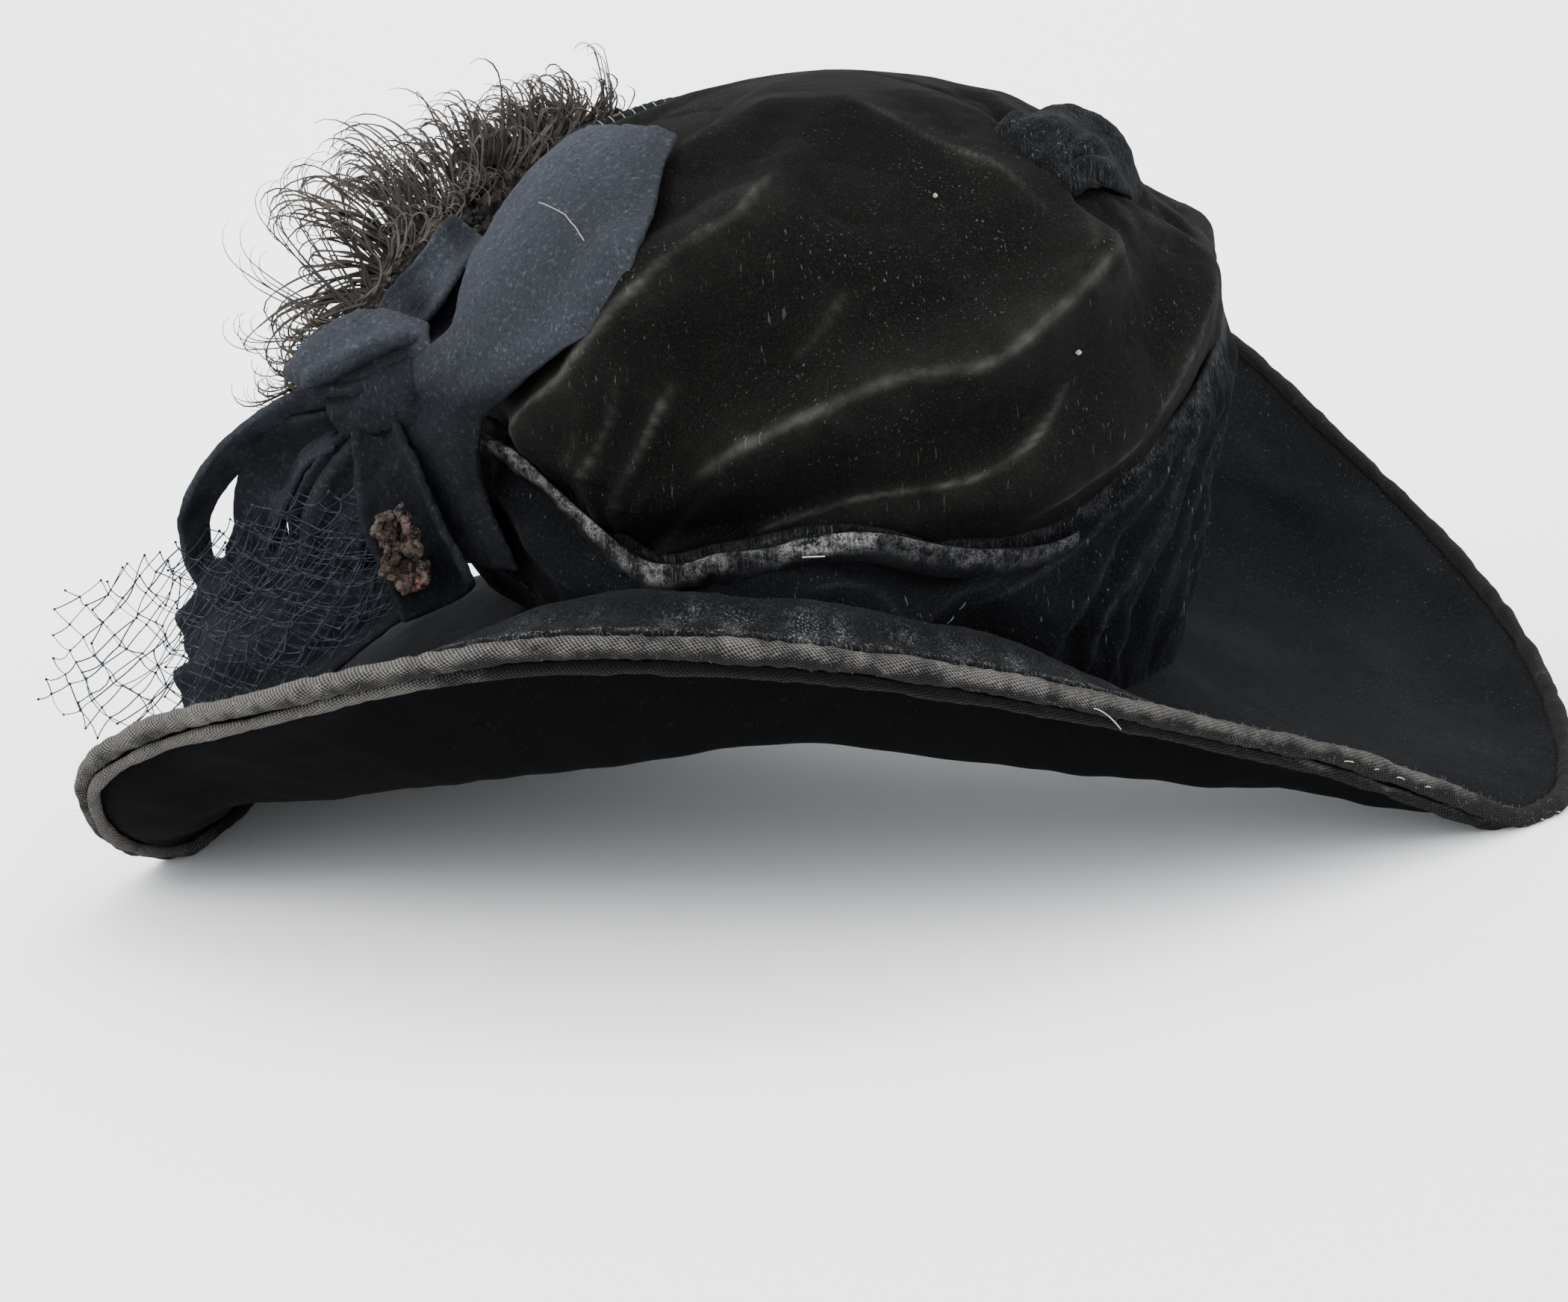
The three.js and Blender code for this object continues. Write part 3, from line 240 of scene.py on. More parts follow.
def crown_at(az, t, out, extra=0):
    """Points on the crown's outer face, t from 0 at the head line to 1 at the top, moved out."""
    rise = even_table(CROWN["rise"], t)
    spread = np.maximum(even_table(CROWN["spread"], t), 0)
    soft = np.minimum(spread * 1.5, 1)
    stand = out + (fold_height(az, rise, SOLID_FOLDS) + extra) * soft
    lean = math.pi / 2 * np.clip((rise - 0.35) / 0.6, 0, 1) ** 1.5
    radius = ellipse(az, CROWN_WIDE, CROWN_DEEP) * spread
    base = head_line(az) + BRIM_WALL / 2 + GAP
    high = HEAD_HIGH + CROWN_HIGH - base
    return polar(az, radius + stand * np.cos(lean), base + high * rise + stand * np.sin(lean))


def crown_share(rise):
    """The crown's share from base to top whose height share is rise."""
    t = np.linspace(0, 1, 2001)
    return np.interp(rise, even_table(CROWN["rise"], t), t)


def crown_middle():
    """Where the crown's middle line stands in the frame, from the edge cord's box."""
    az = []
    for a, b in zip(BRIM["az"], np.roll(BRIM["az"], -1)):
        az += [a, a + ((b - a) % 360) / 2]
    az = np.array(az)
    _, cord, _, _ = brim_edge(az)
    angle = np.radians(360 * (np.arange(8) + 0.5) / 8)
    ring = polar(az[:, None], cord[:, :1] + EDGE_R * np.cos(angle), cord[:, 1:] + EDGE_R * np.sin(angle))
    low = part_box("edge_cord")[0]
    return np.array([low[0] * 1000 - ring[..., 0].min(), low[1] * 1000 - ring[..., 1].min(), 0])


MIDDLE = crown_middle()


def waves(p, size, seed):
    """Smooth random relief between about -1 and 1 from sine waves, size in millimetres a wave."""
    rng = np.random.default_rng(seed)
    total, count = 0, 9
    for _ in range(count):
        way = unit(rng.normal(size=3)) * 2 * math.pi / (size * rng.uniform(0.7, 1.5))
        total = total + np.sin(p @ way + rng.uniform(0, 2 * math.pi))
    return total / math.sqrt(count)


def smooth(a, b, x):
    """A soft step from 0 at a to 1 at b."""
    t = np.clip((x - a) / (b - a), 0, 1)
    return t * t * (3 - 2 * t)


def window(x, a, b, c, d):
    """Rises softly from 0 to 1 between a and b, and falls to 0 again between c and d."""
    return smooth(a, b, x) * smooth(d, c, x)


def bump(x, at, wide):
    """A smooth hump of height 1 at a place."""
    return np.exp(-(((x - at) / wide) ** 2))


def grid_faces(rows, cols, round_rows=False, round_cols=False):
    """Quads over a grid of points, and each corner's row and column counted on past the seam."""
    i = np.arange(rows if round_rows else rows - 1)
    j = np.arange(cols if round_cols else cols - 1)
    a, b = (x.ravel() for x in np.meshgrid(i, j, indexing="ij"))
    corners = np.stack([np.stack([a + da, b + db], -1) for da, db in ((0, 0), (1, 0), (1, 1), (0, 1))], 1)
    faces = (corners[..., 0] % rows) * cols + corners[..., 1] % cols
    return faces, corners


def end_caps(rows, cols, base=0):
    """The two faces that close the ends of a tube of rows by cols points."""
    last = base + rows * cols
    return [tuple(range(base, base + cols)), tuple(range(last - 1, last - cols - 1, -1))]


def add(name, data):
    """An object in the scene that shows data."""
    made = bpy.data.objects.new(name, data)
    bpy.context.collection.objects.link(made)
    return made


def smooth_mesh(name, points, faces, material):
    mesh = bpy.data.meshes.new(name)
    mesh.from_pydata(points, [], faces)
    mesh.materials.append(material)
    mesh.shade_smooth()
    return mesh


def build(name, points, faces, material, slot, nodes=(), layers=None, uv=None):
    """A mesh piece from points in millimetres round the crown's middle. It rides on the body."""
    points = (np.asarray(points, float).reshape(-1, 3) + MIDDLE) / 1000
    points[:, 2] = np.maximum(points[:, 2], LOWEST / 1000)
    faces = faces.tolist() if isinstance(faces, np.ndarray) else faces
    mesh = smooth_mesh(name, points.tolist(), faces, material)
    for key, values in (layers or {}).items():
        layer = mesh.attributes.new(key, "FLOAT", "POINT")
        layer.data.foreach_set("value", np.asarray(values, np.float32).ravel())
    if uv is not None:
        layer = mesh.uv_layers.new(name="along")
        layer.data.foreach_set("uv", np.asarray(uv, np.float32).ravel())
    piece = add(name, mesh)
    if nodes:
        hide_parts(*nodes)
    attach(piece, "root")


def face_out(points, faces, inside):
    """Turns the faces round if they look towards the point inside."""
    p = points.reshape(-1, 3)
    f = faces[:: max(1, len(faces) // 4000)]
    normal = np.cross(p[f[:, 1]] - p[f[:, 0]], p[f[:, 2]] - p[f[:, 0]])
    middle = p[f].mean(1)
    return faces if (normal * (middle - inside)).sum() > 0 else faces[:, ::-1]


# ---- materials
CLOTH_SPECULAR, METAL_SPECULAR = 0.03, 0.5
DEEP_SHADE, LINT = (0.0012, 0.0012, 0.0013), (0.16, 0.155, 0.145)


class Look:
    """A node material on one Principled shader, with short calls for what the cloths share.
    Noise is given as scale per metre, detail, roughness and stretch."""

    def __init__(self, name, color, roughness, sheen=0.0, sheen_roughness=0.5, tint=(1, 1, 1), metallic=0.0):
        self.material = bpy.data.materials.new(name)
        self.material.use_nodes = True
        self.tree = self.material.node_tree
        self.shader = self.tree.nodes["Principled BSDF"]
        for key, value in {
            "Base Color": (*color, 1),
            "Roughness": roughness,
            "Metallic": metallic,
            "Sheen Weight": sheen,
            "Sheen Roughness": sheen_roughness,
            "Sheen Tint": (*tint, 1),
            "Specular IOR Level": METAL_SPECULAR if metallic else CLOTH_SPECULAR,
        }.items():
            self.shader.inputs[key].default_value = value
        self.place = self.node("ShaderNodeTexCoord").outputs["Object"]
        self.color = None
        self.height = None

    def node(self, kind, **values):
        made = self.tree.nodes.new(kind)
        for key, value in values.items():
            if hasattr(made, key):
                setattr(made, key, value)
            else:
                self.put(made.inputs[key.replace("_", " ")], value)
        return made

    def put(self, socket, value):
        if isinstance(value, bpy.types.NodeSocket):
            self.tree.links.new(value, socket)
        elif value is not None:
            socket.default_value = value

    def math(self, operation, a, b=None, c=None, clamp=False):
        made = self.node("ShaderNodeMath", operation=operation, use_clamp=clamp)
        for i, value in enumerate((a, b, c)):
            self.put(made.inputs[i], value)
        return made.outputs[0]

    def times(self, a, b, clamp=False):
        return self.math("MULTIPLY", a, b, clamp=clamp)

    def noise(self, scale, detail=2.0, roughness=0.5, stretch=None):
        where = self.place
        if stretch:
            where = self.node("ShaderNodeMapping", Vector=where, Scale=stretch).outputs[0]
        made = self.node("ShaderNodeTexNoise", Vector=where, Scale=scale, Detail=detail, Roughness=roughness)
        return made.outputs["Fac"]

    def ramp(self, value, low, high, to_low=0.0, to_high=1.0):
        made = self.node("ShaderNodeMapRange", interpolation_type="SMOOTHSTEP", clamp=True)
        for i, x in enumerate((value, low, high, to_low, to_high)):
            self.put(made.inputs[i], x)
        return made.outputs[0]

    def layer(self, name):
        return self.node("ShaderNodeAttribute", attribute_name=name).outputs["Fac"]

    def mix(self, share, other):
        """Mixes another colour over the colour so far."""
        made = self.node("ShaderNodeMix", data_type="RGBA")
        before = tuple(self.shader.inputs["Base Color"].default_value) if self.color is None else self.color
        for key, value in (("Factor", share), (6, before), (7, other)):
            if isinstance(value, (tuple, list)):
                value = (*value[:3], 1)
            self.put(made.inputs[key], value)
        self.color = made.outputs[2]
        return self

    def spots(self, color, share, low, high, *noise):
        """Mixes a colour in where a noise runs from low to high, by a share or wholly if it is None."""
        patch = self.ramp(self.noise(*noise), low, high)
        return self.mix(patch if share is None else self.times(patch, share), color)

    def relief(self, value, millimetres):
        """Adds a height in millimetres to the bump."""
        step = self.times(value, millimetres)
        self.height = step if self.height is None else self.math("ADD", self.height, step)
        return self

    def grain(self, millimetres, *noise):
        return self.relief(self.noise(*noise), millimetres)

    def done(self):
        self.put(self.shader.inputs["Base Color"], self.color)
        bump = self.node("ShaderNodeBump", Strength=1.0, Distance=0.001, Height=self.height)
        self.put(self.shader.inputs["Normal"], bump.outputs[0])
        return self.material


def lint(look, amount):
    """Tiny pale flecks and short fibres caught in a pile."""
    dots = look.node("ShaderNodeTexVoronoi", Vector=look.place, Scale=700.0, feature="F1")
    near = look.ramp(dots.outputs["Distance"], 0.08, 0.2, 1.0, 0.0)
    some = look.ramp(look.node("ShaderNodeSeparateColor", Color=dots.outputs["Color"]).outputs[0], 0.92, 0.97)
    patch = look.ramp(look.noise(45.0, 3.0), 0.3, 0.65)
    look.mix(look.times(look.times(near, some), look.times(patch, amount * 0.6)), LINT)
    threads = look.ramp(look.noise(1300.0, 1.0, 0.5, (1.0, 1.0, 0.1)), 0.68, 0.76)
    look.mix(look.times(threads, look.times(patch, amount * 0.45)), LINT)


def velvet(name, dark, light, sheen, tint, lint_amount, ridge=0.0, crest=None, worn=None, nap=0.35,
           grain=0.3, streaks=0.3, clouds=0.5):
    """A pile: pressed and fresh patches, pale ridges that are partly a painted sheen highlight and partly
    wear, rubbed places, lint and painted deep shade.
    """
    look = Look(name, dark, 0.95, sheen, 0.3, tint)
    look.spots(light, 0.55, 0.35, 0.75, 16.0, 3.0, 0.55)
    look.spots(light, nap, 0.5, 0.8, 60.0, 4.0, 0.65, (1.0, 1.0, 0.5))
    look.spots([x * 3.0 for x in light], grain, 0.5, 0.72, 1900.0, 2.0, 0.7)
    if ridge:
        # Ridges are painted paler with the crest colour, partly a painted sheen highlight and partly wear.
        # Where there are ridges, the noise that breaks them up sets the share of the streaks too.
        streaks = look.ramp(look.noise(130.0, 3.0, 0.6), 0.3, 0.65, 0.35, 1.0)
        look.mix(look.times(look.times(look.layer("ridge"), streaks), ridge, clamp=True), crest)
    if worn:
        streak = look.ramp(look.noise(1600.0, 2.0, 0.6, (1.0, 1.0, 0.07)), 0.5, 0.68)
        cloud = look.ramp(look.noise(210.0, 5.0, 0.7), 0.4, 0.66)
        cloud = look.times(cloud, look.ramp(look.noise(2200.0, 2.0), 0.3, 0.6))
        both = look.math("ADD", look.times(streak, streaks), look.times(cloud, clouds))
        look.mix(look.times(look.layer("worn"), both, clamp=True), worn)
    lint(look, lint_amount)
    look.mix(look.times(look.layer("shade"), 0.85), DEEP_SHADE)
    return look.grain(0.3, 1500.0, 3.0, 0.7).grain(0.4, 260.0, 3.0, 0.6).done()


CROWN_LOOK = velvet("velvet_crown", (0.0026, 0.0026, 0.0023), (0.0062, 0.006, 0.0054), 0.006,
                    (0.6, 0.58, 0.52), 0.6, 0.75, (0.05, 0.0488, 0.044), None, 0.5, 0.5)
BAND_LOOK = velvet("velvet_band", (0.0026, 0.0028, 0.0031), (0.006, 0.0064, 0.0071), 0.006,
                   (0.52, 0.57, 0.66), 0.8, 0.6, (0.019, 0.0203, 0.0225), (0.12, 0.122, 0.126), 0.5, 0.5)
BRIM_LOOK = velvet("velvet_brim", (0.0042, 0.0044, 0.0048), (0.0088, 0.0092, 0.01), 0.008,
                   (0.56, 0.58, 0.62), 0.5, 0.5, (0.018, 0.019, 0.0205), (0.15, 0.155, 0.155),
                   grain=0.35, clouds=0.3)
HEM_LOOK = velvet("velvet_hem", (0.004, 0.0043, 0.0047), (0.012, 0.0125, 0.0138), 0.02,
                  (0.6, 0.62, 0.66), 1.0, worn=(0.25, 0.247, 0.242), streaks=0.25, clouds=0.85)


def twill(name, dark, worn, ribs, wear_low):
    """Piping of twill: fine slanting ribs and cross threads, paler where the worn layer says, which is rubbed
    wear and, on the thick cord's upper side, partly a painted highlight.
    """
    look = Look(name, dark, 0.95, 0.05, 0.4, (0.8, 0.78, 0.74))
    where = look.node("ShaderNodeUVMap", uv_map="along").outputs[0]
    along, around = look.node("ShaderNodeSeparateXYZ", Vector=where).outputs[:2]
    slant = look.math("ADD", along, look.times(around, 0.9))
    jitter = look.times(look.noise(300.0, 2.0), 0.9)
    rib = look.math("SINE", look.math("ADD", look.times(slant, 2 * math.pi / ribs), jitter))
    other = look.math("SUBTRACT", look.times(along, 0.35), around)
    cross = look.math("SINE", look.times(other, 2 * math.pi / (ribs * 0.8)))
    weave = look.math("ADD", look.times(rib, 0.6), look.times(cross, 0.4))
    cloud = look.math("SUBTRACT", look.noise(95.0, 5.0, 0.65), 0.5)
    rub = look.math("ADD", look.layer("worn"), look.times(cloud, 1.5))
    share = look.ramp(look.math("ADD", rub, look.times(weave, 0.16)), wear_low, 0.95)
    look.mix(share, worn)
    look.mix(look.ramp(weave, -0.7, 0.35, 0.85, 0.0), (0.0075, 0.007, 0.007))
    look.spots([min(x * 2.0, 1) for x in worn], look.times(share, 0.4), 0.56, 0.72, 900.0, 3.0)
    return look.relief(weave, 0.34).grain(0.2, 1400.0, 3.0, 0.7).done()


CORD_LOOK = twill("cord_worn", (0.0075, 0.0073, 0.0075), (0.12, 0.112, 0.102), 1.15, 0.35)
UNDER_LOOK = twill("cord_dark", (0.004, 0.004, 0.0043), (0.095, 0.087, 0.078), 1.2, 0.4)


def felt():
    look = Look("felt", (0.0068, 0.0073, 0.0086), 1.0, 0.012, 0.5, (0.66, 0.74, 0.86))
    # The layer called worn sets how pale each piece of felt is, and how many pale flecks it has.
    look.mix(look.layer("worn"), (0.031, 0.0335, 0.0405))
    look.spots((0.014, 0.0155, 0.0185), 0.35, 0.35, 0.7, 38.0, 4.0, 0.6)
    flecks = look.math("MULTIPLY_ADD", look.layer("worn"), 0.5, 0.16)
    look.spots((0.085, 0.09, 0.102), flecks, 0.52, 0.68, 620.0, 5.0, 0.8)
    look.spots((0.005, 0.0055, 0.0065), 0.5, 0.47, 0.36, 900.0, 4.0, 0.75)
    lint(look, 0.45)
    return look.grain(0.55, 800.0, 5.0, 0.8).grain(0.3, 170.0, 3.0, 0.6).done()


FELT_LOOK = felt()
MOTH_LOOK = (
    Look("moth_eaten", (0.03, 0.022, 0.018), 1.0)
    .spots((0.07, 0.056, 0.047), None, 0.42, 0.6, 420.0, 4.0, 0.7)
    .spots((0.2, 0.06, 0.055), None, 0.6, 0.68, 260.0, 3.0, 0.6)
    .spots((0.008, 0.008, 0.009), None, 0.46, 0.4, 300.0, 4.0, 0.7)
    .grain(0.6, 700.0, 4.0, 0.75)
    .done()
)
PLUME_LOOK = Look("feather", (0.017, 0.015, 0.0135), 0.85, 0.04, 0.4, (0.8, 0.74, 0.68))
PLUME_LOOK.mix(PLUME_LOOK.layer("tip"), (0.1, 0.086, 0.075))
PLUME_LOOK.spots((0.008, 0.0073, 0.0073), 0.6, 0.45, 0.7, 90.0, 3.0)
PLUME_LOOK = PLUME_LOOK.grain(0.1, 1500.0, 2.0).done()
DOWN_LOOK = (
    Look("down", (0.014, 0.0125, 0.0115), 1.0, 0.03, 0.4, (0.8, 0.74, 0.68))
    .spots((0.055, 0.048, 0.042), None, 0.5, 0.7, 420.0, 3.0, 0.6, (0.35, 0.6, 1.0))
    .spots((0.006, 0.0056, 0.0054), None, 0.52, 0.42, 300.0, 3.0, 0.6)
    .grain(0.8, 600.0, 4.0, 0.75)
    .done()
)


def thread_look(name, color, spread):
    look = Look(name, color, 0.8, 0.05, 0.5)
    look.spots([min(1, x * spread) for x in color], None, 0.4, 0.7, 500.0, 3.0)
    return look.grain(0.08, 2500.0, 2.0).done()


NET_LOOK = thread_look("net", (0.0105, 0.0125, 0.017), 3.2)
PALE_LOOK = thread_look("pale_thread", (0.26, 0.235, 0.2), 1.4)
STITCH_LOOK = thread_look("stitch_thread", (0.035, 0.037, 0.04), 2.2)
FUZZ_LOOK = thread_look("cord_fuzz", (0.09, 0.083, 0.075), 1.8)
STEM_LOOK = velvet("stem_wrap", (0.006, 0.0075, 0.0075), (0.014, 0.018, 0.018), 0.05, (0.5, 0.62, 0.6), 0.4,
                   0.3, (0.05, 0.05, 0.046))
WIRE_LOOK = Look("staple_wire", (0.62, 0.6, 0.56), 0.32, metallic=1.0).grain(0.02, 3000.0, 2.0).done()
# ---- folds as lines on a surface
def line_field(points, normals, line):
    """For each point: its distance from a line, which side it is on, and how far along, 0 to 1."""
    shape = points.shape[:-1]
    p, n = points.reshape(-1, 3), normals.reshape(-1, 3)
    seg = np.linalg.norm(np.diff(line, axis=0), axis=1)
    at = np.concatenate([[0], np.cumsum(seg)])
    best, side, along = np.full(len(p), 1e9), np.zeros(len(p)), np.zeros(len(p))
    for k in range(len(line) - 1):
        way = (line[k + 1] - line[k]) / max(seg[k], 1e-9)
        off = p - line[k]
        t = np.clip(off @ way, 0, seg[k])
        rest = off - t[:, None] * way
        d = np.linalg.norm(rest, axis=1)
        near = d < best
        best = np.where(near, d, best)
        side = np.where(near, np.sign((np.cross(way, n) * rest).sum(1)), side)
        along = np.where(near, (at[k] + t) / at[-1], along)
    return best.reshape(shape), side.reshape(shape), along.reshape(shape)


def surface_normals(p):
    """The normals of a grid of points that look out from the crown's centre."""
    n = unit(np.cross(np.gradient(p, axis=0), np.gradient(p, axis=1)))
    flip = np.sign((n * (p - CENTRE)).sum(-1, keepdims=True).mean())
    return n * (flip if flip else 1)


def dense(line, spot, count=10):
    """Points on a surface along rows of (azimuth, share), smoothly between them."""
    line = np.array(line, float)
    t = np.linspace(0, 1, count * (len(line) - 1) + 1)
    return spot(even_table(line[:, 0], t), even_table(line[:, 1], t))


def folded(points, normals, lines, spot):
    """The height and the ridge share that soft folds give a surface. The ridge share marks the crests that
    the velvets paint paler, partly a painted sheen highlight and partly wear.
    Each row is the height of the crest, the reach of its right and left flanks, how sharp it is, and its
    line."""
    height, ridge = np.zeros(points.shape[:-1]), np.zeros(points.shape[:-1])
    for high, right, left, sharp, line in lines:
        d, side, along = line_field(points, normals, dense(line, spot))
        wide = np.where(side > 0, right, left)
        ends = window(along, 0, 0.16, 0.84, 1)
        x = np.sqrt((d / wide) ** 2 + 0.006)
        form = np.exp(-x * x) * (1 - sharp) + np.exp(-1.5 * x) * sharp
        height += high * form * (0.2 + 0.8 * ends)
        if high > 0:
            crest = np.exp(-((d / max(0.7, 0.06 * min(right, left) + 0.2)) ** 2))
            crest = crest + 0.16 * np.exp(-((d / (0.35 * wide)) ** 2))
            ridge = np.maximum(ridge, crest * ends * min(1, high / 4.5) * min(1, right / 14) ** 1.3)
    return height, ridge


# ---- crown
CENTRE = np.array([0.0, 0.0, 120.0])
GATHER_AT = 228.0, 0.13  # where the slack of the velvet runs together


def on_crown(az, rise):
    return crown_at(az, crown_share(rise), 0)


# Folds of the crown: the crest's height, the reach of its two flanks, how sharp it is, its line.
CROWN_LINES = [
    (8.0, 22, 15, 0.9, [(219, 0.3), (221, 0.38), (226, 0.45), (239, 0.585), (248, 0.685), (256, 0.743),
        (259, 0.83)]),
    (3.6, 12, 24, 0.6, [(238, 0.91), (252, 0.94), (267, 0.943), (280, 0.925), (291, 0.88), (300, 0.826),
        (306, 0.74)]),
    (9.0, 26, 20, 0.85, [(247, 0.33), (256, 0.41), (266, 0.474), (276, 0.521), (286, 0.535),
        (297, 0.603), (307, 0.665), (319, 0.73)]),
    (6.5, 16, 8, 0.8, [(252, 0.225), (260, 0.275), (270, 0.324), (283, 0.362), (292, 0.422), (300, 0.527)]),
    (-6.0, 8, 6, 0.2, [(226, 0.17), (240, 0.22), (254, 0.262), (265, 0.305), (276, 0.34), (287, 0.36)]),
    (4.5, 9, 6, 0.9, [(225, 0.13), (229, 0.24), (234, 0.371), (238, 0.46), (240, 0.54)]),
    (5.0, 10, 7, 0.9, [(230, 0.16), (236, 0.27), (241, 0.382), (245, 0.47), (246, 0.52)]),
    (2.4, 6, 5, 0.8, [(224, 0.16), (227, 0.27), (231, 0.38), (233, 0.47)]),
    (2.4, 5, 6, 0.8, [(220, 0.2), (221, 0.3), (224, 0.38), (229, 0.47)]),
    (2.0, 5, 6, 0.8, [(236, 0.15), (243, 0.24), (250, 0.31), (256, 0.35)]),
    (-4.5, 8, 7, 0.3, [(314, 0.7), (315, 0.79), (317, 0.86), (323, 0.93), (335, 0.97)]),
    (3.5, 9, 10, 0.7, [(303, 0.66), (309, 0.74), (314, 0.8), (316, 0.83)]),
    (4.5, 10, 14, 0.8, [(291, 0.29), (300, 0.345), (310, 0.4), (320, 0.51), (329, 0.58), (338, 0.64)]),
    (1.4, 12, 12, 0.7, [(262, 0.55), (266, 0.6), (270, 0.68)]),
    (-3.0, 16, 14, 0.1, [(255, 0.52), (268, 0.6), (284, 0.64), (300, 0.7)]),
    (-3.0, 14, 14, 0.1, [(262, 0.8), (276, 0.8), (290, 0.74), (304, 0.66)]),
    (5.0, 16, 12, 0.7, [(350, 0.62), (365, 0.66), (382, 0.72), (400, 0.74)]),
    (5.0, 14, 14, 0.7, [(20, 0.54), (38, 0.62), (58, 0.66), (82, 0.63)]),
    (4.5, 12, 16, 0.7, [(48, 0.84), (75, 0.8), (104, 0.78), (135, 0.8)]),
    (4.0, 11, 11, 0.7, [(78, 0.42), (92, 0.52), (112, 0.58), (134, 0.57)]),
    (5.0, 15, 12, 0.7, [(112, 0.4), (132, 0.48), (152, 0.6), (168, 0.72)]),
    (4.0, 12, 10, 0.7, [(148, 0.38), (163, 0.46), (182, 0.52), (200, 0.55)]),
    (-4.0, 12, 9, 0.2, [(30, 0.5), (60, 0.5), (92, 0.48), (120, 0.52)]),
]


def crown_relief(az, t):
    """How far the folds and the slack of the velvet stand off the crown, and the ridge share, where the
    crests are painted paler, partly a painted sheen highlight and partly wear.
    """
    flat = crown_at(az, t, 0)
    normals = surface_normals(flat)
    height, ridge = folded(flat, normals, CROWN_LINES, on_crown)
    rise = even_table(CROWN["rise"], t) + 0 * az
    top = round_table(BAND_TOP, "top", az) + 0 * t
    over = np.exp(-(((rise - top - 0.09) / 0.075) ** 2))
    height += 4.5 * over
    height += 1.5 * waves(flat, 56, 3) + 0.5 * waves(flat, 21, 4) + 0.13 * waves(flat, 8, 5)
    away = flat - on_crown(*(np.array([[x]]) for x in GATHER_AT))[0, 0]
    far = np.linalg.norm(away, axis=-1)
    turn = np.arctan2(away[..., 2], away[..., 0])
    rays = np.sin(turn * 17 + 1.5 * np.sin(turn * 5)) + 0.6 * np.sin(turn * 31 + 2)
    height += 1.5 * rays * np.exp(-far / 42) * smooth(4, 16, far)
    height -= 3.0 * smooth(0.3, 0.6, rise) * window(az, 192, 205, 228, 240)
    near_top = smooth(1.0, 0.93, rise)
    return 1.2 * height * (0.35 + 0.65 * near_top), ridge * (0.7 + 0.4 * waves(flat, 16, 7).clip(-1, 1))


def crown_piece():
    """The crown's creased outside, its plain inside and the two fans that close its top."""
    around, up, down, top = 350, 180, 40, 0.998
    az = (np.arange(around) * 360 / around)[:, None]
    t = np.linspace(0, top, up)[None, :]
    height, ridge = crown_relief(az, t)
    outer = crown_at(az, t, 0.2, height)
    inner = crown_at(az, np.linspace(top, 0, down)[None, :], -1.9)
    inner[..., 2] = np.minimum(inner[..., 2], HEAD_HIGH + CROWN_HIGH - 4.2)
    points = np.concatenate([outer, inner], 1)
    rows, cols = points.shape[:2]
    faces, _ = grid_faces(rows, cols, True, True)
    seam = (faces % cols == up - 1).sum(1) * (faces % cols == up).sum(1) > 0
    faces = faces[~seam]
    flat = np.concatenate([points.reshape(-1, 3), [outer[:, -1].mean(0), inner[:, 0].mean(0)]])
    quads = face_out(flat, faces, CENTRE)
    turned = quads[0, 0] != faces[0, 0]
    every = quads.tolist()
    for k, col in enumerate((up - 1, up)):
        ring = np.arange(rows) * cols + col
        fan = np.stack([ring, np.roll(ring, -1), np.full(rows, rows * cols + k)], -1)
        every += (fan if (k == 0) != turned else fan[:, ::-1]).tolist()
    # The ridge layer paints the folds' crests paler, partly a painted sheen highlight and partly wear; the
    # shade layer paints shade over the top of the crown between azimuth 220 and 360.
    high = smooth(0.8, 0.98, even_table(CROWN["rise"], t) + 0 * az) * smooth(220, 250, az)
    layers, plain = {}, np.zeros(inner.shape[:2])
    for key, values, tops in (("ridge", ridge, [0, 0]), ("shade", 0.8 * high, [0.6, 0])):
        layers[key] = np.concatenate([np.concatenate([values, plain], 1).ravel(), tops])
    build("crown_velvet", flat, every, CROWN_LOOK, "velvet_crown", ("crown",), layers)


# ---- band
BAND_PROFILE = np.array([0.1, 0.75, 1, 0.6, 0])


def band_stand(az, v):
    gather = round_table(BAND_TOP, "puff", az) + 0.2 * np.cos(np.radians(az * BAND_GATHERS))
    return BAND_PUFF * gather * even_table(BAND_PROFILE, v)


def band_at(az, v, out=0):
    """Points on the band's outer face, v from 0 at its foot to 1 at its upper edge."""
    top = crown_share(round_table(BAND_TOP, "top", az))
    return crown_at(az, top * v, 3 * GAP + BAND_WALL + band_stand(az, v) + out)


